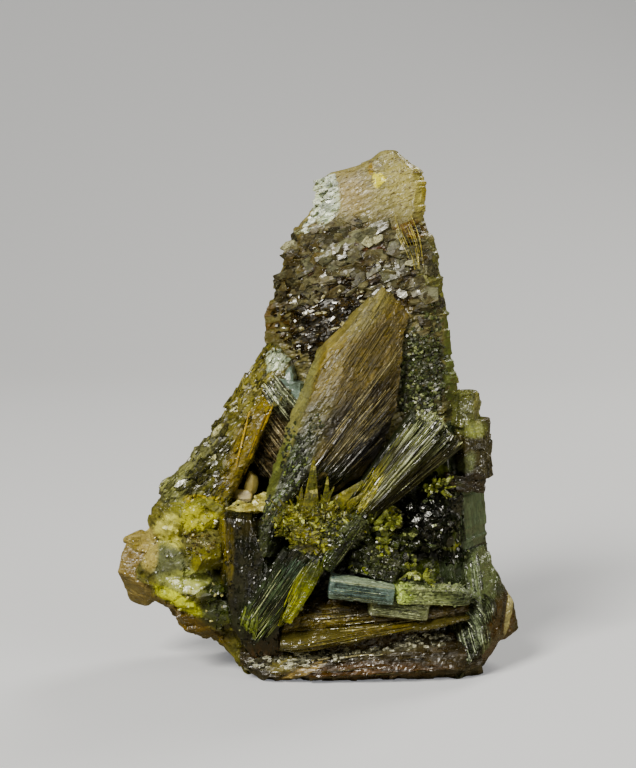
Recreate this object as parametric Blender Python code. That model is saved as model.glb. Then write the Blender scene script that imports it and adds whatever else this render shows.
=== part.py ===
# Epidote crystal cluster: a hand specimen of tablets, blades and sheaves grown into one another.
# It stands on its flat broken base, with the face that shows best towards -Y.
# Lengths here are millimetres; the meshes are made in metres.

import math
import random

import bmesh
import bpy
from mathutils import Matrix, Vector

MM = 0.001

# A station is one cross line of a crystal: (left x, left z, right x, right z, edge y, front y, back y).
MAIN_TABLET = [
    (-1.7, 3.0, 11.8, 3.0, 3.0, 0.8, 5.4),
    (-2.1, 11.1, 11.6, 12.0, 3.0, 0.6, 5.4),
    (-2.4, 18.0, 10.8, 19.6, 2.8, 0.4, 5.3),
    (-4.0, 23.0, 10.3, 22.3, 2.4, 0.2, 5.2),
    (-4.2, 24.5, 9.9, 24.2, 2.3, 0.1, 5.1),
    (-4.4, 26.8, 9.7, 26.3, 2.2, 0.0, 5.0),
    (-3.7, 28.1, 9.5, 28.2, 2.1, 0.0, 4.9),
    (-3.6, 29.3, 9.2, 30.0, 2.1, 0.0, 4.9),
    (-3.0, 30.9, 8.8, 31.6, 2.0, 0.1, 4.7),
    (-2.6, 32.0, 8.4, 33.0, 2.0, 0.1, 4.6),
    (-1.9, 33.7, 7.8, 34.3, 2.0, 0.2, 4.4),
    (-1.1, 34.6, 7.8, 35.3, 2.0, 0.3, 4.2),
    (-0.7, 35.9, 8.0, 36.4, 2.0, 0.4, 4.0),
    (-0.5, 37.1, 7.9, 37.3, 2.0, 0.6, 3.8),
    (0.7, 37.7, 7.4, 37.9, 2.0, 0.8, 3.5),
    (2.3, 38.1, 6.6, 38.3, 2.0, 1.0, 3.2),
    (3.8, 38.7, 6.2, 38.9, 2.0, 1.2, 3.0),
    (4.7, 39.4, 5.7, 39.4, 2.0, 1.5, 2.6),
]
LEFT_WING = [
    (-12.3, 8.0, -6.4, 8.0, 0.9, -2.2, 4.6),
    (-12.8, 11.8, -7.1, 11.8, 0.9, -2.5, 4.8),
    (-12.3, 13.9, -6.2, 13.9, 0.8, -2.6, 4.6),
    (-10.3, 15.7, -5.2, 16.2, 0.7, -2.5, 4.4),
    (-8.8, 17.8, -4.3, 18.2, 0.7, -2.2, 4.2),
    (-7.6, 19.8, -3.5, 20.0, 0.7, -1.9, 4.1),
    (-6.2, 21.7, -2.0, 20.8, 0.8, -1.5, 4.0),
    (-5.3, 23.0, -1.9, 22.3, 0.9, -1.0, 3.8),
    (-4.6, 24.1, -2.4, 23.7, 1.0, -0.4, 3.5),
    (-4.2, 24.7, -3.4, 24.5, 1.2, 0.4, 2.8),
]
FRONT_BLADE = [
    (-5.1, 9.6, -2.6, 9.2, -3.0, -5.6, 1.5),
    (-4.9, 11.3, -2.6, 10.8, -2.8, -5.9, 1.5),
    (-4.4, 13.0, -1.6, 12.5, -2.2, -5.9, 1.5),
    (-3.9, 14.7, 0.6, 13.6, -1.8, -5.8, 1.5),
    (-3.4, 16.2, 3.0, 14.9, -1.5, -5.6, 1.5),
    (-2.8, 18.1, 4.5, 17.1, -1.2, -5.3, 1.5),
    (-2.2, 20.0, 5.5, 19.6, -0.9, -4.9, 1.5),
    (-1.4, 21.5, 5.8, 21.5, -0.7, -4.5, 1.5),
    (-0.9, 23.0, 6.0, 23.5, -0.5, -4.0, 1.5),
    (-0.3, 24.4, 6.2, 25.0, -0.3, -3.4, 1.5),
    (1.0, 25.7, 6.4, 26.1, -0.1, -2.8, 1.5),
    (2.2, 27.0, 6.5, 26.9, 0.1, -2.1, 1.5),
    (3.4, 28.2, 6.1, 27.7, 0.3, -1.4, 1.5),
    (4.4, 29.2, 5.5, 28.5, 0.5, -0.5, 1.5),
]
RIGHT_FLANK = [
    (6.6, 2.5, 13.4, 3.6, 1.6, -3.0, 5.0),
    (6.8, 8.0, 12.7, 9.1, 1.4, -2.6, 5.0),
    (6.6, 11.5, 12.6, 11.6, 1.3, -2.3, 4.9),
    (6.8, 14.0, 12.2, 14.6, 1.2, -1.9, 4.7),
    (7.2, 18.4, 11.0, 19.0, 1.4, -0.8, 4.2),
]
CORNER_BLOCK = [
    (7.6, -0.8, 12.0, -0.6, 0.0, -4.6, 4.6),
    (7.8, 0.5, 13.6, 1.9, 0.2, -4.9, 4.8),
    (8.2, 2.6, 15.1, 2.9, 0.4, -4.9, 4.6),
    (8.6, 4.8, 14.8, 4.8, 0.5, -4.6, 4.2),
    (9.4, 6.3, 13.9, 6.3, 0.6, -4.0, 3.8),
    (10.0, 8.3, 12.9, 8.3, 0.6, -3.2, 3.2),
    (10.6, 9.0, 12.5, 9.3, 0.6, -2.4, 2.6),
]
DARK_PRISM = [
    (-6.6, -0.8, -1.8, -0.8, -2.6, -5.0, 2.5),
    (-7.3, 3.1, -2.2, 3.1, -2.4, -5.5, 2.5),
    (-7.7, 6.1, -2.4, 6.1, -2.4, -5.7, 2.5),
    (-7.8, 9.1, -3.2, 9.1, -2.4, -5.6, 2.5),
    (-7.9, 12.5, -4.6, 12.0, -2.4, -5.4, 2.2),
    (-6.9, 13.2, -4.6, 13.4, -1.6, -3.4, 1.6),
]
LEFT_MASS = [
    (-6.3, 0.9, -5.0, -0.8, 0.4, -3.4, 4.0),
    (-9.0, 2.8, -5.0, 2.0, 0.3, -3.6, 5.0),
    (-11.5, 4.2, -5.4, 4.6, 0.2, -3.4, 5.6),
    (-13.2, 5.7, -5.6, 6.2, 0.2, -3.0, 5.6),
    (-13.7, 8.0, -6.0, 8.0, 0.2, -2.8, 5.6),
    (-13.4, 10.2, -6.2, 10.2, 0.4, -2.4, 5.4),
    (-12.6, 11.8, -6.4, 11.8, 0.6, -2.0, 5.0),
]
ROOT_MASS = [
    (-5.4, -0.8, 11.0, -0.8, 0.0, -4.8, 6.0),
    (-5.2, 4.0, 11.0, 4.0, 0.0, -5.2, 6.0),
    (-4.6, 8.4, 10.0, 8.4, 0.4, -4.8, 6.0),
    (-3.6, 11.0, 8.8, 11.4, 1.0, -3.4, 5.8),
    (-2.4, 13.4, 8.2, 14.6, 1.6, -1.6, 5.6),
]
BACK_TABLET = [
    (-6.6, -0.8, 6.4, -0.8, 5.2, 3.0, 6.8),
    (-7.3, 6.0, 6.6, 6.4, 5.2, 3.0, 7.1),
    (-6.9, 12.6, 6.2, 13.4, 5.1, 3.0, 7.0),
    (-5.6, 17.6, 5.8, 19.0, 5.0, 3.0, 6.7),
    (-4.2, 21.0, 5.0, 23.0, 4.8, 3.0, 6.4),
    (-1.4, 23.6, 3.4, 25.0, 4.6, 3.0, 5.9),
]
BACK_RIGHT = [
    (3.6, -0.8, 12.2, -0.8, 4.4, 2.0, 6.7),
    (5.0, 7.4, 12.4, 7.8, 4.4, 2.0, 6.9),
    (6.8, 13.0, 12.0, 14.2, 4.2, 2.0, 6.5),
    (8.4, 17.2, 11.0, 18.4, 4.0, 2.0, 5.6),
]
BACK_LEFT = [
    (-12.4, 5.4, -5.6, 3.0, 3.4, 1.0, 6.3),
    (-12.9, 9.0, -6.0, 8.4, 3.4, 1.0, 6.6),
    (-11.6, 13.0, -5.6, 12.4, 3.4, 1.0, 6.2),
    (-9.4, 15.8, -5.6, 15.4, 3.4, 1.0, 5.4),
]
# These lie along X: a station's first point is on its lower edge and its second on its upper edge.
AMBER_LEDGE = [
    (-3.2, 2.2, -3.0, 3.8, -4.6, -6.7, -1.0),
    (-1.6, 2.1, -1.6, 4.0, -4.6, -7.0, -1.0),
    (4.0, 3.2, 4.0, 4.7, -4.6, -6.8, -1.0),
    (9.6, 4.0, 9.6, 4.8, -4.0, -6.0, -1.0),
]
BROWN_LAYER = [
    (-3.0, 3.3, -2.6, 5.4, -4.4, -6.0, -0.6),
    (0.6, 3.6, 0.6, 6.6, -4.4, -6.4, -0.6),
    (5.4, 4.1, 5.4, 6.2, -4.2, -6.2, -0.6),
    (9.8, 4.4, 9.8, 5.8, -3.6, -5.4, -0.6),
]
BASE_LEDGE = [
    (-6.2, 0.9, -6.0, 2.6, 0.0, -5.0, 4.6),
    (-4.6, -0.8, -4.2, 2.7, 0.0, -6.1, 5.2),
    (0.0, -0.8, 0.0, 2.7, 0.0, -6.6, 6.4),
    (6.0, -0.8, 6.0, 3.6, 0.0, -6.5, 6.4),
    (11.0, -0.8, 10.8, 3.8, 0.0, -5.6, 5.2),
]

# How far a face stands out across a crystal: (share of the width, share of the depth).
FLAT_FACE = [(0.0, 0.25), (0.06, 0.5), (0.22, 0.95), (0.55, 1.0), (0.9, 0.96), (0.96, 0.6), (1.0, 0.25)]
WING_FACE = [(0.0, 0.15), (0.08, 0.45), (0.45, 0.75), (0.86, 1.0), (0.93, 0.9), (1.0, 0.1)]
BLADE_FACE = [(0.0, 0.3), (0.1, 0.88), (0.34, 1.0), (0.46, 0.9), (0.75, 0.5), (1.0, 0.1)]
ROUND_FACE = [(0.0, 0.2), (0.15, 0.7), (0.4, 1.0), (0.7, 0.9), (0.9, 0.55), (1.0, 0.2)]
PRISM_FACE = [(0.0, 0.3), (0.13, 0.92), (0.18, 1.0), (0.8, 0.94), (1.0, 0.4)]
RIDGE_FACE = [(0.0, 0.2), (0.3, 0.8), (0.55, 1.0), (0.72, 0.7), (1.0, 0.1)]
BACK_FACE = [(0.0, 0.3), (0.12, 0.8), (0.5, 1.0), (0.88, 0.75), (1.0, 0.3)]

# Lofted crystals: (name, colour, stations, front profile, back profile).
TABLETS = [
    ("main_tablet", "tan", MAIN_TABLET, FLAT_FACE, BACK_FACE),
    ("left_wing", "olive", LEFT_WING, WING_FACE, BACK_FACE),
    ("front_blade", "golden", FRONT_BLADE, BLADE_FACE, BACK_FACE),
    ("right_flank", "dark_green", RIGHT_FLANK, RIDGE_FACE, BACK_FACE),
    ("corner_block", "dark_green", CORNER_BLOCK, RIDGE_FACE, BACK_FACE),
    ("dark_prism", "dark_green", DARK_PRISM, PRISM_FACE, BACK_FACE),
    ("left_mass", "olive", LEFT_MASS, ROUND_FACE, BACK_FACE),
    ("root_mass", "dark_green", ROOT_MASS, ROUND_FACE, BACK_FACE),
    ("back_tablet", "olive", BACK_TABLET, BACK_FACE, FLAT_FACE),
    ("back_right", "dark_green", BACK_RIGHT, BACK_FACE, RIDGE_FACE),
    ("back_left", "olive", BACK_LEFT, BACK_FACE, ROUND_FACE),
    ("amber_ledge", "golden", AMBER_LEDGE, ROUND_FACE, BACK_FACE),
    ("brown_layer", "brown", BROWN_LAYER, ROUND_FACE, BACK_FACE),
    ("base_ledge", "brown", BASE_LEDGE, ROUND_FACE, BACK_FACE),
]

# Growth ledges: flat tiles half sunk in a broad face, in rows that rise to the right.
LEDGE_LENGTH = 2.4
LEDGE_HEIGHT = 1.1
LEDGE_THICKNESS = 0.56
LEDGE_LEAN = math.radians(-17.0)
LEDGE_TILT = math.radians(7.0)
LEDGE_SHARE = 0.62
# (crystal, side, rows, tiles in a row, first and last share of the height, of the width, lean, seed)
LEDGES = [
    ("main_tablet", "front", 19, 4, (0.2, 0.9), (0.17, 0.86), LEDGE_LEAN, 41),
    ("main_tablet", "back", 12, 4, (0.24, 0.9), (0.2, 0.84), -LEDGE_LEAN, 42),
    ("left_wing", "front", 11, 2, (0.16, 0.84), (0.24, 0.72), LEDGE_LEAN, 43),
    ("back_tablet", "back", 12, 3, (0.06, 0.9), (0.2, 0.82), -LEDGE_LEAN, 44),
    ("back_left", "back", 6, 2, (0.1, 0.85), (0.25, 0.75), LEDGE_LEAN, 45),
    ("base_ledge", "front", 9, 2, (0.12, 0.92), (0.45, 0.8), 0.0, 46),
]

# Knobbly crystals: (colour, centre, size, seed).
LUMPS = [
    ("yellow", (-11.2, -2.2, 11.2), (3.4, 4.0, 3.4), 3),
    ("yellow", (-9.2, -2.8, 12.0), (3.6, 3.6, 2.4), 5),
    ("olive", (-9.0, -3.3, 9.5), (3.6, 4.2, 3.8), 8),
    ("olive", (-11.4, -2.6, 8.3), (3.8, 4.6, 3.8), 11),
    ("pale_green", (-9.9, -3.2, 6.6), (5.2, 4.4, 3.4), 14),
    ("yellow", (-8.6, -2.8, 4.6), (5.4, 4.0, 2.8), 17),
    ("golden", (-13.2, 0.2, 7.3), (3.7, 3.8, 4.0), 20),
    ("yellow", (-13.7, 0.6, 9.3), (2.9, 3.0, 2.2), 23),
    ("dark_green", (1.5, -5.0, 11.3), (4.4, 3.2, 2.8), 26),
    ("yellow", (-2.4, -5.1, 12.2), (2.2, 2.2, 2.2), 29),
    ("yellow", (-1.0, -5.8, 10.8), (2.6, 2.2, 2.4), 32),
    ("yellow", (-0.2, -4.9, 12.8), (2.4, 2.4, 2.0), 35),
    ("yellow", (5.0, -3.8, 12.1), (1.8, 2.8, 1.8), 38),
    ("dark_green", (4.6, -4.3, 9.6), (3.8, 3.6, 3.2), 41),
    ("golden", (-4.8, -0.9, 14.9), (1.6, 1.8, 1.6), 44),
    ("dark_green", (8.0, -2.6, 12.0), (3.4, 3.0, 4.6), 47),
    ("olive", (-8.8, 5.2, 6.0), (5.6, 3.4, 4.6), 50),
    ("brown", (9.0, 5.4, 3.4), (5.4, 3.4, 4.4), 53),
]

# Straight crystals: (colour, start, end, width, thickness, sides).
PRISMS = [
    ("pale_green", (0.5, -6.5, 7.5), (5.4, -6.5, 6.9), 1.5, 2.7, 4),
    ("pale_green", (5.2, -6.0, 6.8), (13.1, -3.4, 6.1), 1.5, 2.8, 4),
    ("pale_green", (3.8, -5.8, 5.4), (7.8, -5.5, 5.2), 1.3, 2.4, 4),
    ("yellow", (0.2, -7.2, 9.8), (-2.9, -7.4, 4.5), 1.3, 1.1, 4),
    ("dark_green", (2.9, -5.9, 12.5), (0.1, -6.5, 8.7), 1.3, 1.9, 6),
    ("yellow", (-0.9, -5.3, 12.2), (-0.8, -5.4, 17.3), 0.9, 0.8, 6),
    ("yellow", (0.3, -5.3, 12.9), (0.3, -5.5, 15.9), 0.5, 0.5, 6),
    ("yellow", (0.4, -5.1, 12.9), (2.9, -5.6, 15.4), 0.7, 0.6, 6),
    ("golden", (-5.6, -0.7, 12.2), (-4.9, -0.9, 15.0), 0.8, 0.9, 6),
    ("olive", (10.9, -0.6, 18.6), (10.9, -0.6, 21.3), 2.0, 2.8, 6),
    ("brown", (11.5, -0.5, 14.7), (11.4, -0.5, 19.2), 2.7, 3.8, 6),
    ("brown", (9.2, -1.0, 14.6), (12.3, -1.1, 14.2), 1.3, 2.6, 4),
    ("olive", (-3.6, 5.4, 0.6), (-9.0, 4.9, 15.4), 2.8, 2.8, 6),
    ("dark_green", (1.6, 6.6, 0.2), (-3.6, 6.4, 13.2), 1.7, 2.2, 6),
    ("olive", (3.0, 6.7, 0.4), (4.6, 6.4, 16.2), 1.9, 2.2, 6),
    ("dark_green", (5.6, 6.4, 0.4), (9.2, 5.7, 12.0), 1.6, 2.4, 6),
    ("olive", (7.4, 4.2, 13.4), (9.4, 3.9, 21.8), 1.7, 1.9, 6),
]

# Bundles of laths: the fan on the right and the sheaf at the lower left.
FAN = {
    "laths": 11,
    "start": ((2.0, -3.6, 12.9), (4.4, -3.4, 12.0)),
    "end": ((7.5, -3.7, 20.6), (10.7, -3.0, 18.5)),
    "bulge": 1.1,
    "width": 0.62,
    "thickness": 3.4,
    "uneven": 0.7,
    "seed": 7,
}
SHEAF = {
    "laths": 8,
    "start": ((-2.6, -6.4, 10.1), (0.6, -6.3, 9.6)),
    "end": ((-6.2, -6.4, 4.6), (-4.3, -6.3, 2.4)),
    "bulge": 0.6,
    "width": 0.62,
    "thickness": 1.7,
    "uneven": 0.5,
    "seed": 9,
}

BASE_CUT_DEPTH = 4.0
BASE_CUT_WIDTH = 60.0

COLOURS = {
    "olive": (0.20, 0.19, 0.05),
    "tan": (0.35, 0.28, 0.14),
    "golden": (0.36, 0.24, 0.05),
    "dark_green": (0.03, 0.05, 0.02),
    "yellow": (0.48, 0.42, 0.08),
    "pale_green": (0.30, 0.36, 0.18),
    "brown": (0.16, 0.09, 0.03),
}
ROUGHNESS = 0.3
EPIDOTE_IOR = 1.74


def clear_scene():
    for item in list(bpy.data.objects):
        bpy.data.objects.remove(item, do_unlink=True)


def new_collection(name):
    collection = bpy.data.collections.new(name)
    bpy.context.scene.collection.children.link(collection)
    return collection


def crystal_material(name):
    """A glossy mineral finish in one of the cluster's colours."""
    material = bpy.data.materials.get(name)
    if material:
        return material
    material = bpy.data.materials.new(name)
    material.use_nodes = True
    shader = material.node_tree.nodes["Principled BSDF"]
    shader.inputs["Base Color"].default_value = (*COLOURS[name], 1.0)
    shader.inputs["Roughness"].default_value = ROUGHNESS
    shader.inputs["Metallic"].default_value = 0.0
    shader.inputs["IOR"].default_value = EPIDOTE_IOR
    return material


def helper_object(name, bm, collection, colour):
    """A crystal that the cluster is joined from, hidden and with its faces pointing out."""
    bmesh.ops.scale(bm, vec=(MM, MM, MM), verts=bm.verts)
    bmesh.ops.recalc_face_normals(bm, faces=bm.faces)
    mesh = bpy.data.meshes.new(name)
    bm.to_mesh(mesh)
    bm.free()
    mesh.materials.append(crystal_material(colour))
    helper = bpy.data.objects.new(name, mesh)
    helper.hide_render = True
    helper.display_type = "WIRE"
    collection.objects.link(helper)
    return helper


def face_point(station, share, depth, profile_share):
    """A point on the front or back face of a crystal, at this share of the station's width."""
    left_x, left_z, right_x, right_z, edge_y = station[:5]
    x = left_x + (right_x - left_x) * share
    z = left_z + (right_z - left_z) * share
    return Vector((x, edge_y + (depth - edge_y) * profile_share, z))


def tablet(name, colour, stations, front, back, collection):
    """A crystal as a loft through its stations. Flat faces run between the profiles' points."""
    bm = bmesh.new()
    sections = []
    for station in stations:
        front_y, back_y = station[5:]
        points = [face_point(station, share, front_y, out) for share, out in front]
        points += [face_point(station, share, back_y, out) for share, out in reversed(back)]
        sections.append([bm.verts.new(point) for point in points])
    count = len(front) + len(back)
    for lower, upper in zip(sections, sections[1:]):
        for place in range(count):
            after = (place + 1) % count
            bm.faces.new((lower[place], lower[after], upper[after], upper[place]))
    bm.faces.new(sections[0])
    bm.faces.new(sections[-1])
    bmesh.ops.triangulate(bm, faces=bm.faces)
    return helper_object(name, bm, collection, colour)


def along(pairs, share):
    """The value at this share, read along (share, value) pairs."""
    for (first, low), (last, high) in zip(pairs, pairs[1:]):
        if share <= last:
            return low + (high - low) * (share - first) / (last - first)
    return pairs[-1][1]


def station_at(stations, share):
    """The station at this share of a crystal's height."""
    place = share * (len(stations) - 1)
    index = min(int(place), len(stations) - 2)
    part = place - index
    return [low + (high - low) * part for low, high in zip(stations[index], stations[index + 1])]


def ledges(name, side, rows, tiles, heights, widths, lean, seed, collection):
    """Flat growth tiles, half sunk in a crystal's front or back face."""
    colour, stations, front, back = next(entry[1:] for entry in TABLETS if entry[0] == name)
    profile, depth_place = (front, 5) if side == "front" else (back, 6)
    rng = random.Random(seed)
    for row in range(rows):
        for tile in range(tiles):
            up = heights[0] + (heights[1] - heights[0]) * (row + rng.uniform(-0.25, 0.25)) / (rows - 1)
            over = widths[0] + (widths[1] - widths[0]) * (tile + 0.5 + rng.uniform(-0.4, 0.4)) / tiles
            length = LEDGE_LENGTH * rng.uniform(0.6, 1.4)
            height = LEDGE_HEIGHT * rng.uniform(0.6, 1.3)
            turn = lean + rng.uniform(-0.08, 0.08)
            tilt = LEDGE_TILT * rng.uniform(0.2, 1.6)
            if rng.random() > LEDGE_SHARE:
                continue
            station = station_at(stations, up)
            centre = face_point(station, over, station[depth_place], along(profile, over))
            bm = bmesh.new()
            bmesh.ops.create_cube(bm, size=1.0)
            bmesh.ops.scale(bm, vec=(length, LEDGE_THICKNESS, height), verts=bm.verts)
            bmesh.ops.rotate(bm, verts=bm.verts, matrix=Matrix.Rotation(-tilt, 3, "X"))
            bmesh.ops.rotate(bm, verts=bm.verts, matrix=Matrix.Rotation(turn, 3, "Y"))
            bmesh.ops.translate(bm, vec=centre, verts=bm.verts)
            helper_object(f"{name}_{side}_ledge_{row + 1}_{tile + 1}", bm, collection, colour)


def prism(name, colour, start, end, width, thickness, sides, collection, taper=0.86, turn=0.0):
    """A straight crystal from start to end, a little narrower at its end."""
    start, end = Vector(start), Vector(end)
    line = end - start
    bm = bmesh.new()
    reach = 0.5 / math.cos(math.pi / sides)
    bmesh.ops.create_cone(
        bm, cap_ends=True, segments=sides, radius1=reach, radius2=reach * taper, depth=1.0
    )
    bmesh.ops.rotate(bm, verts=bm.verts, matrix=Matrix.Rotation(math.pi / sides + turn, 3, "Z"))
    bmesh.ops.scale(bm, vec=(width, thickness, line.length), verts=bm.verts)
    across = line.cross(Vector((0.0, -1.0, 0.0))).normalized()
    depth = line.normalized().cross(across)
    facing = Matrix((across, depth, line.normalized())).transposed()
    bmesh.ops.rotate(bm, verts=bm.verts, matrix=facing)
    bmesh.ops.translate(bm, vec=(start + end) / 2, verts=bm.verts)
    return helper_object(name, bm, collection, colour)


def lump(name, colour, centre, size, seed, collection):
    """A knobbly crystal: a block with its corners cut to flat faces of unlike sizes."""
    rng = random.Random(seed)
    bm = bmesh.new()
    bmesh.ops.create_cube(bm, size=1.0)
    turn = Matrix.Rotation(rng.uniform(0, math.pi), 3, "Z") @ Matrix.Rotation(rng.uniform(0, 1), 3, "X")
    bmesh.ops.rotate(bm, verts=bm.verts, matrix=turn)
    for _ in range(12):
        face = Vector((rng.gauss(0, 1), rng.gauss(0, 1), rng.gauss(0, 1))).normalized()
        everything = bm.verts[:] + bm.edges[:] + bm.faces[:]
        reach = face * rng.uniform(0.42, 0.52)
        bmesh.ops.bisect_plane(bm, geom=everything, plane_co=reach, plane_no=face, clear_outer=True)
        bmesh.ops.holes_fill(bm, edges=[edge for edge in bm.edges if edge.is_boundary])
    bmesh.ops.scale(bm, vec=size, verts=bm.verts)
    bmesh.ops.translate(bm, vec=centre, verts=bm.verts)
    bmesh.ops.triangulate(bm, faces=bm.faces)
    return helper_object(name, bm, collection, colour)


def bundle(name, colour, collection, laths, start, end, bulge, width, thickness, uneven, seed):
    """Side-by-side laths that spread from one end to the other, proud in the middle."""
    rng = random.Random(seed)
    first_start, last_start = (Vector(point) for point in start)
    first_end, last_end = (Vector(point) for point in end)
    for place in range(laths):
        share = place / (laths - 1)
        low = first_start.lerp(last_start, share)
        high = first_end.lerp(last_end, share)
        proud = bulge * math.sin(math.pi * share) + rng.uniform(-0.25, 0.25)
        for point in (low, high):
            point.y -= proud
        high += (high - low).normalized() * rng.uniform(-uneven, 0.2 * uneven)
        spread = width * rng.uniform(0.8, 1.25)
        turn = rng.uniform(-0.2, 0.2)
        lath = f"{name}_{place + 1}"
        prism(lath, colour, low, high, spread, thickness, 4, collection, taper=1.05, turn=turn)


def build_crystals(pieces):
    """Every crystal that the cluster is joined from."""
    for entry in TABLETS:
        tablet(*entry, pieces)
    for entry in LEDGES:
        ledges(*entry, pieces)
    for number, entry in enumerate(LUMPS, 1):
        lump(f"lump_{number}", *entry, pieces)
    for number, entry in enumerate(PRISMS, 1):
        prism(f"prism_{number}", *entry, pieces)
    bundle("fan", "olive", pieces, **FAN)
    bundle("sheaf", "dark_green", pieces, **SHEAF)


def base_cutter(collection):
    """The block below the resting plane, which cuts the broken base flat."""
    bm = bmesh.new()
    bmesh.ops.create_cube(bm, size=1.0)
    bmesh.ops.scale(bm, vec=(BASE_CUT_WIDTH, BASE_CUT_WIDTH, BASE_CUT_DEPTH), verts=bm.verts)
    bmesh.ops.translate(bm, vec=(0.0, 0.0, -BASE_CUT_DEPTH / 2), verts=bm.verts)
    return helper_object("base_cut", bm, collection, "brown")


def join_cluster(cluster, pieces, cutter):
    """One solid from the first crystal and all the others, cut flat below."""
    first = pieces.objects["main_tablet"]
    solid = bpy.data.objects.new("epidote_crystals", first.data.copy())
    cluster.objects.link(solid)
    bpy.data.objects.remove(first)
    join = solid.modifiers.new("Join crystals", "BOOLEAN")
    join.operation = "UNION"
    join.operand_type = "COLLECTION"
    join.collection = pieces
    join.solver = "EXACT"
    join.material_mode = "TRANSFER"
    flat = solid.modifiers.new("Flat base", "BOOLEAN")
    flat.operation = "DIFFERENCE"
    flat.object = cutter
    flat.solver = "EXACT"
    return solid


def main():
    clear_scene()
    cluster = new_collection("epidote_crystal_cluster")
    pieces = new_collection("crystals_to_join")
    cutters = new_collection("cutters")
    build_crystals(pieces)
    join_cluster(cluster, pieces, base_cutter(cutters))


main()
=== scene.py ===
import functools
import math
import random

import bmesh
import bpy
import numpy as np
from mathutils import Matrix, Vector
from mathutils.bvhtree import BVHTree


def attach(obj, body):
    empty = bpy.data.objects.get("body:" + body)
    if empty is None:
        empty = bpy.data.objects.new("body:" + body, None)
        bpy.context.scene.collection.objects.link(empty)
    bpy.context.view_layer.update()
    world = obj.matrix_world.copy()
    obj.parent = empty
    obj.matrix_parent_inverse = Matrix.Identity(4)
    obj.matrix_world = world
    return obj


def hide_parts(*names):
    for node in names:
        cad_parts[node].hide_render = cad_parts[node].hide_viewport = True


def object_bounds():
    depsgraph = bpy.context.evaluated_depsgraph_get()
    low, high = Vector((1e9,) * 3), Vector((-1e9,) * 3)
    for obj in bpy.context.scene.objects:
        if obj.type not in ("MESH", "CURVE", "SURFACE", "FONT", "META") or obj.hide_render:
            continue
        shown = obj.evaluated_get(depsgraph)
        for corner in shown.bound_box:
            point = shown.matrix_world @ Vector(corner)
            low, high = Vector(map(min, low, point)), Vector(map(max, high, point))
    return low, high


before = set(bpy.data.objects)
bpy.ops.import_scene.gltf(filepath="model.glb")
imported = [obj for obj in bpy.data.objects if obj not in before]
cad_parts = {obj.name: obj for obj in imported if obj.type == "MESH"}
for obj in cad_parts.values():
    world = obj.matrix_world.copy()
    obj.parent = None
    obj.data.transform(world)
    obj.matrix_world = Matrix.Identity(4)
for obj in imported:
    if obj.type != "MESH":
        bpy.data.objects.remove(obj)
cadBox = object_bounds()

# Epidote crystal cluster: the finished look of the specimen. Lengths in the tables are millimetres.
mm = 0.001
perMm = (1 / mm, 1 / mm, 1 / mm)
clusterNode = "epidote_crystals"
boxMargin = 0.01  # mm that every piece keeps inside the solid's box
origin = (0.0, 0.0, 0.0)
half = (0.5, 0.5, 0.5)
lean = math.radians  # the tables give leans and turns in degrees


# Node helpers

def plug(tree, value, socket):
    if isinstance(value, bpy.types.NodeSocket):
        tree.links.new(value, socket)
    else:
        socket.default_value = value


def addNode(tree, kind, inputs=None, **settings):
    node = tree.nodes.new(kind)
    for key, value in settings.items():
        setattr(node, key, value)
    for key, value in (inputs or {}).items():
        plug(tree, value, node.inputs[key])
    return node.outputs


def maths(tree, operation, *values):
    return addNode(tree, "ShaderNodeMath", dict(enumerate(values)), operation=operation)[0]


def times(tree, *values):
    return functools.reduce(lambda first, second: maths(tree, "MULTIPLY", first, second), values)


def centred(tree, value):
    return maths(tree, "SUBTRACT", value, 0.5)


def vectors(tree, operation, *values):
    outputs = addNode(tree, "ShaderNodeVectorMath", dict(enumerate(values)), operation=operation)
    return outputs["Value" if operation == "DOT_PRODUCT" else "Vector"]


def join(tree, x=0.0, y=0.0, z=0.0):
    return addNode(tree, "ShaderNodeCombineXYZ", {0: x, 1: y, 2: z})[0]


def split(tree, vector):
    return addNode(tree, "ShaderNodeSeparateXYZ", {0: vector})


def leaned(tree, place, angle):
    # The place turned in the plane that the front view shows
    return addNode(tree, "ShaderNodeVectorRotate", {"Vector": place, "Angle": angle},
                   rotation_type="Y_AXIS")[0]


def noiseAt(tree, place, scale=1.0, detail=2.0, roughness=0.5):
    inputs = {"Vector": place, "Scale": scale, "Detail": detail, "Roughness": roughness}
    return addNode(tree, "ShaderNodeTexNoise", inputs)


def carried(tree, label):
    # A number that the mesh carries on its points
    if tree.bl_idname == "GeometryNodeTree":
        return addNode(tree, "GeometryNodeInputNamedAttribute", {"Name": label}, data_type="FLOAT")[0]
    return addNode(tree, "ShaderNodeAttribute", attribute_name=label)["Fac"]


def ramp(tree, value, low, high, toLow=0.0, toHigh=1.0):
    inputs = {"Value": value, "From Min": low, "From Max": high, "To Min": toLow, "To Max": toHigh}
    return addNode(tree, "ShaderNodeMapRange", inputs, interpolation_type="SMOOTHSTEP")[0]


def mixColour(tree, share, first, second):
    return addNode(tree, "ShaderNodeMix", {0: share, 6: first, 7: second}, data_type="RGBA")[2]


socketKinds = {float: "NodeSocketFloat", int: "NodeSocketInt", tuple: "NodeSocketVector",
               "mesh": "NodeSocketGeometry", "material": "NodeSocketMaterial"}


def newTree(name, kind, inputs, outputs):
    # inputs and outputs give each socket's usual value, or say that it holds a mesh or a material
    tree = bpy.data.node_groups.new(name, kind)
    for side, sockets in (("INPUT", inputs), ("OUTPUT", outputs)):
        for label, usual in sockets.items():
            held = usual if isinstance(usual, str) else type(usual)
            socket = tree.interface.new_socket(name=label, in_out=side, socket_type=socketKinds[held])
            if side == "INPUT" and not isinstance(usual, str):
                socket.default_value = usual
    return tree, tree.nodes.new("NodeGroupInput").outputs, tree.nodes.new("NodeGroupOutput").inputs


def treeName(name, kind):
    return name + ("Relief" if kind == "GeometryNodeTree" else "")


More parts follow.
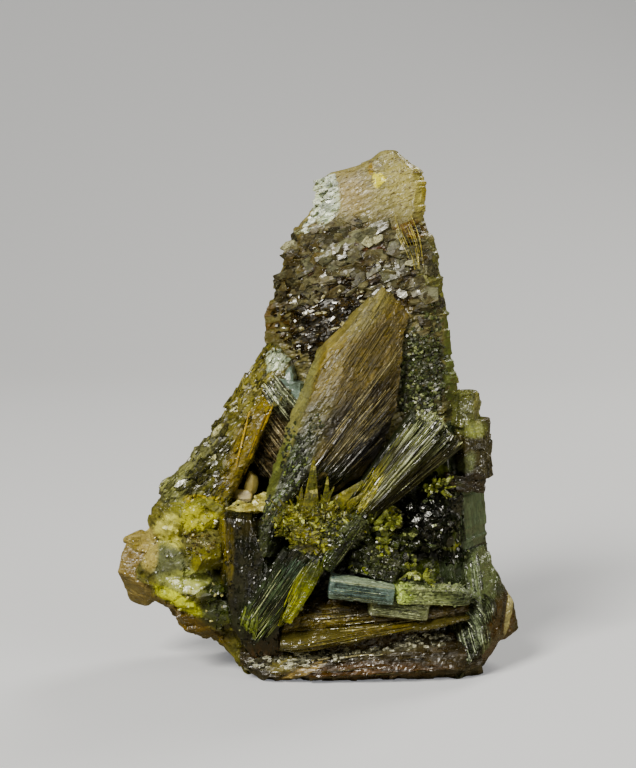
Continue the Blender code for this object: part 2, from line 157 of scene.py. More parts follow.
def placeGroup(tree, group, inputs):
    kind = "GeometryNodeGroup" if tree.bl_idname == "GeometryNodeTree" else "ShaderNodeGroup"
    node = tree.nodes.new(kind)
    node.node_tree = group
    for key, value in inputs.items():
        plug(tree, value, node.inputs[key])
    return node.outputs


# Growth tiles: how deep one is, how far a seed moves them, and how their rows wander, stretch and slide
tilePattern = {"depth": 40.0, "seedStep": 3.7, "waveScale": 0.35, "stretch": 0.9, "shortest": 0.55,
               "slide": 9.0}


@functools.cache
def growthCells(kind):
    # Staggered rectangular growth tiles: where a point lies in its tile, and the tile's random numbers
    inputs = {"Place": origin, "Lean": 0.3, "Length": 1.2, "Height": 0.4, "Warp": 0.6, "Seed": 1.0}
    outputs = {"Across": 0.0, "Up": 0.0, "Random": origin, "Edge": 0.0}
    tree, given, made = newTree(treeName("growthCells", kind), kind, inputs, outputs)
    size = join(tree, given["Length"], tilePattern["depth"], given["Height"])
    scaled = vectors(tree, "DIVIDE", leaned(tree, given["Place"], given["Lean"]), size)
    scaled = vectors(tree, "ADD", scaled, times(tree, given["Seed"], tilePattern["seedStep"]))
    wave = noiseAt(tree, scaled, tilePattern["waveScale"], 4.0, 0.7)[1]
    bent = vectors(tree, "MULTIPLY", vectors(tree, "SUBTRACT", wave, half), given["Warp"])
    place = split(tree, vectors(tree, "ADD", scaled, bent))
    row = maths(tree, "FLOOR", place[2])
    chances = split(tree, addNode(tree, "ShaderNodeTexWhiteNoise", {"W": row}, noise_dimensions="1D")[1])
    stretch = maths(tree, "MULTIPLY_ADD", chances[0], tilePattern["stretch"], tilePattern["shortest"])
    along = maths(tree, "MULTIPLY_ADD", place[0], stretch, times(tree, chances[1], tilePattern["slide"]))
    number = join(tree, maths(tree, "FLOOR", along), 0.0, row)
    across = centred(tree, maths(tree, "FRACT", along))
    up = centred(tree, maths(tree, "FRACT", place[2]))
    reach = [maths(tree, "SUBTRACT", 0.5, maths(tree, "ABSOLUTE", value)) for value in (across, up)]
    plug(tree, across, made["Across"])
    plug(tree, up, made["Up"])
    dice = addNode(tree, "ShaderNodeTexWhiteNoise", {"Vector": number}, noise_dimensions="3D")[1]
    plug(tree, dice, made["Random"])
    plug(tree, maths(tree, "MINIMUM", *reach), made["Edge"])
    return tree


@functools.cache
def facetCells(kind):
    # Irregular broken facets: each one's random numbers, and a height that gives it its own slope
    inputs = {"Place": origin, "Size": (1.0, 1.0, 1.0), "Lean": 0.0}
    outputs = {"Slope": 0.0, "Random": origin}
    tree, given, made = newTree(treeName("facetCells", kind), kind, inputs, outputs)
    scaled = vectors(tree, "DIVIDE", leaned(tree, given["Place"], given["Lean"]), given["Size"])
    cell = addNode(tree, "ShaderNodeTexVoronoi", {"Vector": scaled, "Scale": 1.0})
    aim = vectors(tree, "SUBTRACT", cell["Color"], half)
    slope = vectors(tree, "DOT_PRODUCT", vectors(tree, "SUBTRACT", scaled, cell["Position"]), aim)
    plug(tree, times(tree, slope, 2.0), made["Slope"])
    plug(tree, cell["Color"], made["Random"])
    return tree


@functools.cache
def fineStriae():
    # Straight growth lines at one lean
    inputs = {"Place": origin, "Lean": 0.0, "Spacing": 0.2, "Length": 5.0}
    tree, given, made = newTree("fineStriae", "ShaderNodeTree", inputs, {"Line": 0.0})
    size = join(tree, given["Length"], 2.0, given["Spacing"])
    line = vectors(tree, "DIVIDE", leaned(tree, given["Place"], given["Lean"]), size)
    plug(tree, ramp(tree, noiseAt(tree, line, detail=3.0)[0], 0.3, 0.7), made["Line"])
    return tree


# Geometry Nodes trees: growth relief on a face, laths along lines, grains on a face

boxSockets = {"Box Low": origin, "Box High": origin, "Material": "material"}


def closeTree(tree, given, made, mesh, position):
    # The last steps of each tree: inside the box, flat shaded, one plain mesh with its material
    kept = vectors(tree, "MAXIMUM", vectors(tree, "MINIMUM", position, given["Box High"]), given["Box Low"])
    mesh = addNode(tree, "GeometryNodeSetPosition", {"Geometry": mesh, "Position": kept})[0]
    mesh = addNode(tree, "GeometryNodeSetShadeSmooth", {"Geometry": mesh, "Shade Smooth": False})[0]
    mesh = addNode(tree, "GeometryNodeRealizeInstances", {"Geometry": mesh})[0]
    mesh = addNode(tree, "GeometryNodeSetMaterial", {"Geometry": mesh, "Material": given["Material"]})[0]
    plug(tree, mesh, made["Mesh"])
    return tree


reliefDefaults = {
    "Lean": 0.0, "Warp": 0.6, "Seed": 1.0,
    "Block Length": 3.0, "Block Height": 1.5, "Block Step": 0.0, "Block Tilt": 0.0,
    "Tile Length": 1.2, "Tile Height": 0.4, "Tile Step": 0.0, "Tile Tilt": 0.0, "Shingle": 0.0,
    "Chunk Size": (1.0, 1.0, 1.0), "Chunk Step": 0.0, "Chunk Tilt": 0.0,
    "Grain Size": 0.3, "Grain Height": 0.0,
}


@functools.cache
def reliefTree():
    # Growth blocks, the tiles on them, broken facets and grain, all as heights along the normal
    kind = "GeometryNodeTree"
    inputs = {"Mesh": "mesh", **reliefDefaults, **boxSockets}
    tree, given, made = newTree("growthRelief", kind, inputs, {"Mesh": "mesh"})
    position = tree.nodes.new("GeometryNodeInputPosition").outputs[0]
    place = vectors(tree, "MULTIPLY", position, perMm)

    def tiles(part, seedShift, shingle):
        length, height = given[part + " Length"], given[part + " Height"]
        cell = placeGroup(tree, growthCells(kind), {
            "Place": place, "Lean": given["Lean"], "Length": length, "Height": height,
            "Warp": given["Warp"], "Seed": maths(tree, "ADD", given["Seed"], seedShift)})
        dice = split(tree, cell["Random"])
        step = times(tree, centred(tree, dice[0]), given[part + " Step"])
        sideways = times(tree, cell["Across"], centred(tree, dice[1]))
        upwards = centred(tree, dice[2])
        if shingle:
            upwards = maths(tree, "SUBTRACT", upwards, given["Shingle"])
        upwards = times(tree, cell["Up"], upwards)
        slope = maths(tree, "ADD", times(tree, sideways, length), times(tree, upwards, height))
        tilt = times(tree, slope, maths(tree, "TANGENT", given[part + " Tilt"]))
        return maths(tree, "MULTIPLY_ADD", tilt, 2.0, times(tree, step, 2.0))

    height = maths(tree, "ADD", tiles("Block", 5.0, False), tiles("Tile", 0.0, True))
    height = times(tree, height, carried(tree, "rough"))
    chunk = placeGroup(tree, facetCells(kind), {"Place": place, "Size": given["Chunk Size"],
                                                "Lean": given["Lean"]})
    chunkDice = split(tree, chunk["Random"])[1]
    height = maths(tree, "MULTIPLY_ADD", centred(tree, chunkDice), given["Chunk Step"], height)
    height = maths(tree, "MULTIPLY_ADD", chunk["Slope"], given["Chunk Tilt"], height)
    grain = noiseAt(tree, vectors(tree, "DIVIDE", place, given["Grain Size"]))[0]
    height = maths(tree, "MULTIPLY_ADD", centred(tree, grain), given["Grain Height"], height)
    normal = tree.nodes.new("GeometryNodeInputNormal").outputs[0]
    moved = vectors(tree, "ADD", position, vectors(tree, "MULTIPLY", normal, times(tree, height, mm)))
    return closeTree(tree, given, made, given["Mesh"], moved)


@functools.cache
def lathTree():
    # A thin flattened rod along each line, with caps on its ends
    inputs = {"Mesh": "mesh", "Sides": 5, "Flatness": 0.6, **boxSockets}
    tree, given, made = newTree("lathsOnLines", "GeometryNodeTree", inputs, {"Mesh": "mesh"})
    thick = carried(tree, "thick")
    position = tree.nodes.new("GeometryNodeInputPosition").outputs[0]
    curve = addNode(tree, "GeometryNodeMeshToCurve", {"Mesh": given["Mesh"]})[0]
    curve = addNode(tree, "GeometryNodeSetCurveNormal", {"Curve": curve}, mode="Z_UP")[0]
    curve = addNode(tree, "GeometryNodeSetCurveTilt", {"Curve": curve, "Tilt": carried(tree, "turn")})[0]
    curve = addNode(tree, "GeometryNodeSetCurveRadius", {"Curve": curve, "Radius": thick})[0]
    ring = addNode(tree, "GeometryNodeCurvePrimitiveCircle", {"Resolution": given["Sides"],
                                                              "Radius": 1.0})[0]
    across = {"Geometry": ring, "Name": "across", "Value": split(tree, position)[0]}
    ring = addNode(tree, "GeometryNodeStoreNamedAttribute", across, data_type="FLOAT", domain="POINT")[0]
    squash = join(tree, 1.0, given["Flatness"], 1.0)
    ring = addNode(tree, "GeometryNodeTransform", {"Geometry": ring, "Scale": squash})[0]
    sweep = {"Curve": curve, "Profile Curve": ring, "Scale": thick, "Fill Caps": True}
    return closeTree(tree, given, made, addNode(tree, "GeometryNodeCurveToMesh", sweep)[0], position)


grainDefaults = {"Density": 10.0, "Length": 0.3, "Width": 0.15, "Thickness": 0.12, "Uneven": 0.5,
                 "Lean": 0.4,
                 "Scatter": 0.3, "Roll": 0.3, "Pitch": 0.0, "Top": 0.42, "Facing": -0.3}
# Three plain outlines of a grain, so neighbours differ: sides, turn and shift
grainOutlines = ((4, math.pi / 4, 0.0), (5, 0.5, 0.08), (6, 0.2, -0.06))


@functools.cache
def grainTree():
    inputs = {"Mesh": "mesh", "Seed": 1, **grainDefaults, **boxSockets}
    tree, given, made = newTree("grainsOnFace", "GeometryNodeTree", inputs, {"Mesh": "mesh"})
    normal = tree.nodes.new("GeometryNodeInputNormal").outputs[0]
    forward = times(tree, split(tree, normal)[1], -1.0)
    share = times(tree, carried(tree, "grains"), maths(tree, "LESS_THAN", given["Facing"], forward))
    density = times(tree, times(tree, given["Density"], 1 / mm / mm), share)
    points = {"Mesh": given["Mesh"], "Density": density, "Seed": given["Seed"]}
    spread = addNode(tree, "GeometryNodeDistributePointsOnFaces", points, distribute_method="RANDOM")

    def dice(seedShift, low=-1.0):
        seed = maths(tree, "ADD", given["Seed"], seedShift)
        inputs = {0: (low, low, low), 1: (1.0, 1.0, 1.0), "Seed": seed}
        return addNode(tree, "FunctionNodeRandomValue", inputs, data_type="FLOAT_VECTOR")[0]

    line = join(tree, maths(tree, "COSINE", given["Lean"]), 0.0, maths(tree, "SINE", given["Lean"]))
    axes = {"Primary Axis": spread["Normal"], "Secondary Axis": line}
    facing = addNode(tree, "FunctionNodeAxesToRotation", axes, primary_axis="Z", secondary_axis="X")[0]
    swing = vectors(tree, "MULTIPLY", dice(3), join(tree, given["Roll"], given["Roll"], given["Scatter"]))
    swing = vectors(tree, "ADD", swing, join(tree, given["Pitch"]))
    turned = addNode(tree, "FunctionNodeEulerToRotation", {0: swing})[0]
    turned = addNode(tree, "FunctionNodeRotateRotation", {0: facing, 1: turned}, rotation_space="LOCAL")[0]
    swell = vectors(tree, "ADD", vectors(tree, "MULTIPLY", dice(4), given["Uneven"]), (1.0, 1.0, 1.0))
    size = vectors(tree, "MULTIPLY", join(tree, given["Length"], given["Width"], given["Thickness"]), swell)
    size = vectors(tree, "MULTIPLY", size, (mm, mm, mm))
    shapes = tree.nodes.new("GeometryNodeGeometryToInstance")
    for sides, turn, shift in grainOutlines:
        cone = {"Vertices": sides, "Radius Top": given["Top"], "Radius Bottom": 0.6, "Depth": 0.9}
        grain = addNode(tree, "GeometryNodeMeshCone", cone)[0]
        sunk = {"Geometry": grain, "Translation": (shift, shift, -0.2), "Rotation": (0.0, 0.0, turn)}
        tree.links.new(addNode(tree, "GeometryNodeTransform", sunk)[0], shapes.inputs[0])
    grains = {"Points": spread["Points"], "Instance": shapes.outputs[0], "Pick Instance": True,
              "Rotation": turned, "Scale": size}
    mesh = addNode(tree, "GeometryNodeInstanceOnPoints", grains)[0]
    tone = {"Geometry": mesh, "Name": "tone", "Value": split(tree, dice(7, 0.0))[0]}
    mesh = addNode(tree, "GeometryNodeStoreNamedAttribute", tone, data_type="FLOAT", domain="INSTANCE")[0]
    mesh = addNode(tree, "GeometryNodeRealizeInstances", {"Geometry": mesh})[0]
    return closeTree(tree, given, made, mesh, tree.nodes.new("GeometryNodeInputPosition").outputs[0])


def bakeTree(piece, tree, values):
    # Runs a Geometry Nodes tree on a piece and leaves its result as the piece's plain mesh
    modifier = piece.modifiers.new(tree.name, "NODES")
    modifier.node_group = tree
    low = [value + boxMargin * mm for value in cadBox[0]]
    high = [value - boxMargin * mm for value in cadBox[1]]
    values = {"Box Low": (low[0], low[1], 0.0), "Box High": high, **values}
    for item in tree.interface.items_tree:
        if item.item_type == "SOCKET" and item.in_out == "INPUT" and item.name in values:
            modifier[item.identifier] = values[item.name]
    evaluated = piece.evaluated_get(bpy.context.evaluated_depsgraph_get())
    mesh = bpy.data.meshes.new_from_object(evaluated)
    piece.modifiers.clear()
    piece.data = mesh
    return piece


def finishPiece(piece):
    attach(piece, "root")
    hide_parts(clusterNode)
    print(f"{piece.name}: {sum(len(face.vertices) - 2 for face in piece.data.polygons)} triangles")
    return piece


# Shapes: lofted crystals, cut lumps, straight prisms and sheets of laths

flatFace = [(0.0, 0.25), (0.06, 0.5), (0.22, 0.95), (0.55, 1.0), (0.9, 0.96), (0.96, 0.6), (1.0, 0.25)]
wingFace = [(0.0, 0.15), (0.08, 0.45), (0.45, 0.75), (0.86, 1.0), (0.93, 0.9), (1.0, 0.1)]
bladeFace = [(0.0, 0.3), (0.1, 0.88), (0.34, 1.0), (0.46, 0.9), (0.75, 0.5), (1.0, 0.1)]
roundFace = [(0.0, 0.2), (0.15, 0.7), (0.4, 1.0), (0.7, 0.9), (0.9, 0.55), (1.0, 0.2)]
prismFace = [(0.0, 0.3), (0.13, 0.92), (0.18, 1.0), (0.8, 0.94), (1.0, 0.4)]
ridgeFace = [(0.0, 0.2), (0.3, 0.8), (0.55, 1.0), (0.72, 0.7), (1.0, 0.1)]
backFace = [(0.0, 0.3), (0.12, 0.8), (0.5, 1.0), (0.88, 0.75), (1.0, 0.3)]


def newPiece(name, points, faces, edges=()):
    mesh = bpy.data.meshes.new(name)
    mesh.from_pydata([tuple(point) for point in np.asarray(points) * mm], edges, faces)
    piece = bpy.data.objects.new(name, mesh)
    bpy.context.scene.collection.objects.link(piece)
    return piece


def stationRows(stations, ups):
    # The stations' seven values at shares of the crystal's length
    table = np.array(stations, dtype=float)
    middles = (table[:, 0:2] + table[:, 2:4]) / 2
    run = np.concatenate([[0.0], np.cumsum(np.linalg.norm(np.diff(middles, axis=0), axis=1))])
    return np.stack([np.interp(np.asarray(ups) * run[-1], run, column) for column in table.T], 1), run[-1]


def steppedLine(rng, count, longest, depth):
    # A stair-like outline: random offsets held over short runs
    values = []
    while len(values) < count:
        values += [rng.uniform(-1.0, 0.6) * depth] * rng.randint(2, longest)
    return np.array(values[:count])


def loft(name, stations, front, back, step, jag, seed):
    # A crystal through its stations, which are (left x, left z, right x, right z, side y, front y, back y)
    rng = random.Random(seed)
    _, length = stationRows(stations, [0.0])
    rowCount = max(4, round(length / step) + 1)
    rows, _ = stationRows(stations, np.linspace(0.0, 1.0, rowCount))
    widths = np.hypot(rows[:, 2] - rows[:, 0], rows[:, 3] - rows[:, 1])
    columns = max(6, round(widths.max() / step) + 1)
    deep = max(3, round((rows[:, 6] - rows[:, 5]).max() * 0.4 / step))
    for places, sign in (((0, 1), -1.0), ((2, 3), 1.0)):
        shift = steppedLine(rng, rowCount, max(3, round(1.0 / step)), jag) * sign
        for place, part in zip(places, ((rows[:, 2] - rows[:, 0]), (rows[:, 3] - rows[:, 1]))):
            rows[:, place] += shift * part / widths
    shares = np.linspace(0.0, 1.0, columns)
    frontOut = np.interp(shares, *np.array(front).T)
    backOut = np.interp(shares, *np.array(back).T)
    x = rows[:, 0:1] + (rows[:, 2:3] - rows[:, 0:1]) * shares
    z = np.maximum(rows[:, 1:2] + (rows[:, 3:4] - rows[:, 1:2]) * shares, 0.0)
    frontY = rows[:, 4:5] + (rows[:, 5:6] - rows[:, 4:5]) * frontOut
    backY = rows[:, 4:5] + (rows[:, 6:7] - rows[:, 4:5]) * backOut
    # A section's ring is the border of a grid from its front edge to its back edge
    ring = [(0, i) for i in range(columns)] + [(j, columns - 1) for j in range(1, deep)]
    ring += [(deep, i) for i in range(columns - 1, -1, -1)] + [(j, 0) for j in range(deep - 1, 0, -1)]
    depthShare = np.array([j / deep for j, _ in ring])
    column = np.array([i for _, i in ring])
    ringY = frontY[:, column] + (backY[:, column] - frontY[:, column]) * depthShare
    points = np.stack([x[:, column], ringY, z[:, column]], 2)
    count = len(ring)
    faces = []
    for row in range(rowCount - 1):
        base = row * count
        faces += [(base + k, base + (k + 1) % count, base + count + (k + 1) % count, base + count + k)
                  for k in range(count)]
    points = [points.reshape(-1, 3)]
    placed = rowCount * count
    for row, flip in ((0, True), (rowCount - 1, False)):
        number = {spot: row * count + k for k, spot in enumerate(ring)}
        inner = [(j, i) for j in range(1, deep) for i in range(1, columns - 1)]
        for spot in inner:
            number[spot] = placed
            placed += 1
        thickness = backY[row] - frontY[row]
        points.append(np.array([(x[row, i], frontY[row, i] + thickness[i] * j / deep, z[row, i])
                                for j, i in inner]))
        for j in range(deep):
            for i in range(columns - 1):
                quad = (number[j, i], number[j, i + 1], number[j + 1, i + 1], number[j + 1, i])
                faces.append(quad[::-1] if flip else quad)
    return outward(newPiece(name, np.concatenate(points), faces))


def outward(piece):
    # Turns every face of a closed mesh outwards
    bm = bmesh.new()
    bm.from_mesh(piece.data)
    bmesh.ops.recalc_face_normals(bm, faces=bm.faces)
    bm.to_mesh(piece.data)
    bm.free()
    return piece


def refine(bm, longest):
    # Splits edges until none is longer, so relief has points to move
    bmesh.ops.triangulate(bm, faces=bm.faces)
    for _ in range(9):
        edges = [edge for edge in bm.edges if edge.calc_length() > longest]
        if not edges:
            return
        bmesh.ops.subdivide_edges(bm, edges=edges, cuts=1)
        bmesh.ops.triangulate(bm, faces=[face for face in bm.faces if len(face.verts) > 3])


def lumpMesh(bm, centre, size, seed):
    # The same cut blocks as in the solid
    rng = random.Random(seed)
    part = bmesh.new()
    bmesh.ops.create_cube(part, size=1.0)
    turn = Matrix.Rotation(rng.uniform(0, math.pi), 3, "Z") @ Matrix.Rotation(rng.uniform(0, 1), 3, "X")
    bmesh.ops.rotate(part, verts=part.verts, matrix=turn)
    for _ in range(12):
        face = Vector((rng.gauss(0, 1), rng.gauss(0, 1), rng.gauss(0, 1))).normalized()
        everything = part.verts[:] + part.edges[:] + part.faces[:]
        reach = face * rng.uniform(0.42, 0.52)
        bmesh.ops.bisect_plane(part, geom=everything, plane_co=reach, plane_no=face, clear_outer=True)
        bmesh.ops.holes_fill(part, edges=[edge for edge in part.edges if edge.is_boundary])
    bmesh.ops.scale(part, vec=size, verts=part.verts)
    bmesh.ops.translate(part, vec=centre, verts=part.verts)
    mergeInto(bm, part)


def prismMesh(bm, start, end, width, thickness, sides, taper=0.86, turn=0.0):
    # The same straight crystals as in the solid
    start, end = Vector(start), Vector(end)
    line = end - start
    part = bmesh.new()
    reach = 0.5 / math.cos(math.pi / sides)
    bmesh.ops.create_cone(part, cap_ends=True, segments=sides, radius1=reach, radius2=reach * taper,
                          depth=1.0)
    bmesh.ops.rotate(part, verts=part.verts, matrix=Matrix.Rotation(math.pi / sides + turn, 3, "Z"))
    bmesh.ops.scale(part, vec=(width, thickness, line.length), verts=part.verts)
    across = line.cross(Vector((0.0, -1.0, 0.0))).normalized()
    depth = line.normalized().cross(across)
    bmesh.ops.rotate(part, verts=part.verts, matrix=Matrix((across, depth, line.normalized())).transposed())
    bmesh.ops.translate(part, vec=(start + end) / 2, verts=part.verts)
    mergeInto(bm, part)


def crystalCloud(bm, rng, count, centre, spread, length, width, rise=0.5, taper=(0.1, 0.5)):
    # Small crystals that stand out of a clump on all sides but its back
    for _ in range(count):
        away = Vector((rng.uniform(-1, 1), rng.uniform(-1, 0.3), rng.uniform(-0.7, 1)))
        foot = Vector(centre) + Vector([a * b for a, b in zip(away, spread)])
        aim = (away + Vector((0.0, -0.5, rise))).normalized() * rng.uniform(*length)
        wide = rng.uniform(*width)
        prismMesh(bm, foot - aim * 0.3, foot + aim, wide, wide * 0.7, rng.choice((4, 5, 6)),
                  taper=rng.uniform(*taper))


def mergeInto(bm, part):
    bmesh.ops.recalc_face_normals(part, faces=part.faces)
    mesh = bpy.data.meshes.new("part")
    part.to_mesh(mesh)
    part.free()
    bm.from_mesh(mesh)
    bpy.data.meshes.remove(mesh)


def solidPiece(name, bm, longest, soften=0):
    refine(bm, longest)
    for _ in range(soften):
        bmesh.ops.smooth_vert(bm, verts=bm.verts, factor=0.5, use_axis_x=True, use_axis_y=True,
                              use_axis_z=True)
    bmesh.ops.scale(bm, vec=(mm, mm, mm), verts=bm.verts)
    mesh = bpy.data.meshes.new(name)
    bm.to_mesh(mesh)
    bm.free()
    piece = bpy.data.objects.new(name, mesh)
    bpy.context.scene.collection.objects.link(piece)
    return piece


def setShare(piece, name, patches, usual, softEdge=0.3):
    # Writes an attribute on the points: the usual value, and each patch's own where it lies
    places = np.empty(len(piece.data.vertices) * 3)
    piece.data.vertices.foreach_get("co", places)
    x, _, z = places.reshape(-1, 3).T / mm
    values = np.full(len(x), usual)
    for centreX, centreZ, halfX, halfZ, value in patches:
        away = np.hypot((x - centreX) / halfX, (z - centreZ) / halfZ)
        inside = np.clip((1.0 + softEdge / 2 - away) / softEdge, 0.0, 1.0)
        values = values + (value - values) * inside
    attribute = piece.data.attributes.new(name, "FLOAT", "POINT")
    attribute.data.foreach_set("value", values)


def carve(piece, material, relief, smoother=()):
    # Gives a piece its growth relief and its finish
    setShare(piece, "rough", smoother, 1.0)
    return finishPiece(bakeTree(piece, reliefTree(), {**reliefDefaults, **relief, "Material": material}))


def growGrains(name, host, patches, material, values):
    # Small crystals spread over the patches of a finished face
    piece = bpy.data.objects.new(name, host.data.copy())
    bpy.context.scene.collection.objects.link(piece)
    setShare(piece, "grains", patches, 0.0)
    finishPiece(bakeTree(piece, grainTree(), {**grainDefaults, **values, "Material": material}))


def lathPiece(name, lines, material, flatness, narrowed=0.55):
    # lines are (points, half width, turn, tone); narrowed is the share of the width left at a lath's ends
    points, edges, carriedValues = [], [], []
    for spots, width, turn, tone in lines:
        last = len(spots) - 1
        for place, spot in enumerate(spots):
            if place:
                edges.append((len(points) - 1, len(points)))
            points.append(spot)
            carriedValues.append((width * (narrowed if place in (0, last) else 1.0) * mm, turn, tone,
                                  place / last))
    piece = newPiece(name, points, (), edges)
    for label, values in zip(("thick", "turn", "tone", "along"), zip(*carriedValues)):
        attribute = piece.data.attributes.new(label, "FLOAT", "POINT")
        attribute.data.foreach_set("value", values)
    finishPiece(bakeTree(piece, lathTree(), {"Flatness": flatness, "Material": material}))


def skinOf(*pieces):
    # The pieces' faces as a tree that finds where a straight look from the front meets them
    bm = bmesh.new()
    for piece in pieces:
        bm.from_mesh(piece.data)
    skin = BVHTree.FromBMesh(bm)
    bm.free()
    return skin


def frontOf(skin, x, z):
    # The look starts from 50 mm in front of the specimen
    spot = skin.ray_cast(Vector((x * mm, -50.0 * mm, z * mm)), Vector((0.0, 1.0, 0.0)))[0]
    return spot.y / mm if spot else None


def drapedLaths(rng, skin, starts, ends, count, width, lift=0.0, uneven=0.15, sway=0.0, belly=0.0, bends=6):
    # Laths laid on the front of a piece; starts and ends are where the first and the last lath go, as (x, z).
    # lift is how far they stand off it, and belly how far the outer ones bow out, which makes a leaf
    lines = []
    for place in range(count):
        share = (place + rng.uniform(-0.5, 0.5)) / count
        low = Vector(starts[0]).lerp(Vector(starts[1]), share)
        high = Vector(ends[0]).lerp(Vector(ends[1]), share)
        first, last = rng.uniform(0.0, uneven), 1.0 - rng.uniform(0.0, uneven)
        proud = lift + rng.uniform(-0.05, 0.1)
        phase = share * 3.0 + rng.uniform(-0.3, 0.3)
        size, turn, tone = width * rng.uniform(0.6, 1.4), rng.uniform(-0.5, 0.5), rng.random()
        side = Vector((high.y - low.y, low.x - high.x)).normalized()
        line = []
        for step in np.linspace(first, last, bends):
            bow = sway * math.sin(step * 5.0 + phase)
            bow += belly * (2.0 * share - 1.0) * math.sin(math.pi * step)
            spot = low.lerp(high, float(step)) + side * bow
            y = frontOf(skin, spot.x, spot.y)
            if y is not None:
                line.append((spot.x, y - proud, spot.y))
        if len(line) > 2:
            lines.append((line, size, turn, tone))
    return lines


def layLaths(name, rng, skin, material, *tables, flatness=0.6):
    lines = []
    for table in tables:
        lines += drapedLaths(rng, skin, **table)
    lathPiece(name, lines, material, flatness)


# Materials

vivid = 1.18  # reflections grey the colours, so they are taken this much stronger


def paint(code):
    # A colour as it looks, such as a8946a, to the colour that a shader takes
    values = [int(code[place:place + 2], 16) / 255 for place in (0, 2, 4)]
    values = [v / 12.92 if v <= 0.04045 else ((v + 0.055) / 1.055) ** 2.4 for v in values]
    grey = 0.3 * values[0] + 0.6 * values[1] + 0.1 * values[2]
    return (*[max(grey + (v - grey) * vivid, 0.0) for v in values], 1.0)


@functools.cache
def colourPatch():
    # A soft-edged patch of colour: an ellipse seen from the front, with its edge broken by noise.
    # Deep is how far back, in mm, the patch still colours the faces
    inputs = {"Place": origin, "Noise": 0.5, "Chance": 0.0, "Centre": origin, "Half Width": 1.0,
              "Half Height": 1.0, "Turn": 0.0, "Soft": 0.2, "Ragged": 0.6, "Share": 1.0, "Deep": 100.0}
    tree, given, made = newTree("colourPatch", "ShaderNodeTree", inputs, {"Mask": 0.0})
    fromCentre = vectors(tree, "SUBTRACT", given["Place"], given["Centre"])
    part = split(tree, leaned(tree, fromCentre, given["Turn"]))
    wide = maths(tree, "DIVIDE", part[0], given["Half Width"])
    tall = maths(tree, "DIVIDE", part[2], given["Half Height"])
    away = maths(tree, "SQRT", maths(tree, "ADD", times(tree, wide, wide), times(tree, tall, tall)))
    away = maths(tree, "MULTIPLY_ADD", centred(tree, given["Noise"]), given["Ragged"], away)
    mask = ramp(tree, away, maths(tree, "ADD", 1.0, given["Soft"]), maths(tree, "SUBTRACT", 1.0,
                                                                          given["Soft"]))
    chosen = maths(tree, "LESS_THAN", given["Chance"], given["Share"])
    chosen = times(tree, chosen, maths(tree, "LESS_THAN", part[1], given["Deep"]))
    plug(tree, times(tree, mask, chosen), made["Mask"])
    return tree


# What all finishes share. Lanes are the grooves along a lath, and the glow is light scattered inside
mineral = {"refraction": 1.74, "glowRadius": (0.9, 0.8, 0.35), "glowDepth": 0.8, "darkest": 0.12,
           "speckleScale": 9.0, "speckleRough": 0.12, "fineScale": 2.7, "secondRange": (0.42, 0.62),
           "laneStep": 60.0, "laneAcross": 2.6, "laneAlong": 4.0, "tipUneven": 0.35, "tipEnd": 1.05}
lookDefaults = {
    "base": "808080", "second": None, "mottle": 1.2, "patches": [], "cells": None, "toneSpread": 0.35,
    "crack": 0.0, "glints": None, "dashes": None, "roughness": (0.16, 0.4), "facets": (0.55, 0.4, 0.3),
    "facetLean": 0.0, "facetTilt": 0.3, "fineTilt": 0.25, "striae": None, "striaeDepth": 0.0,
    "striaeDark": 0.0, "grooveDark": 0.6, "speckle": 0.25, "tip": None, "glow": 0.0,
    "clear": 0.0, "density": 0.0, "clearColour": "ffffff",
}


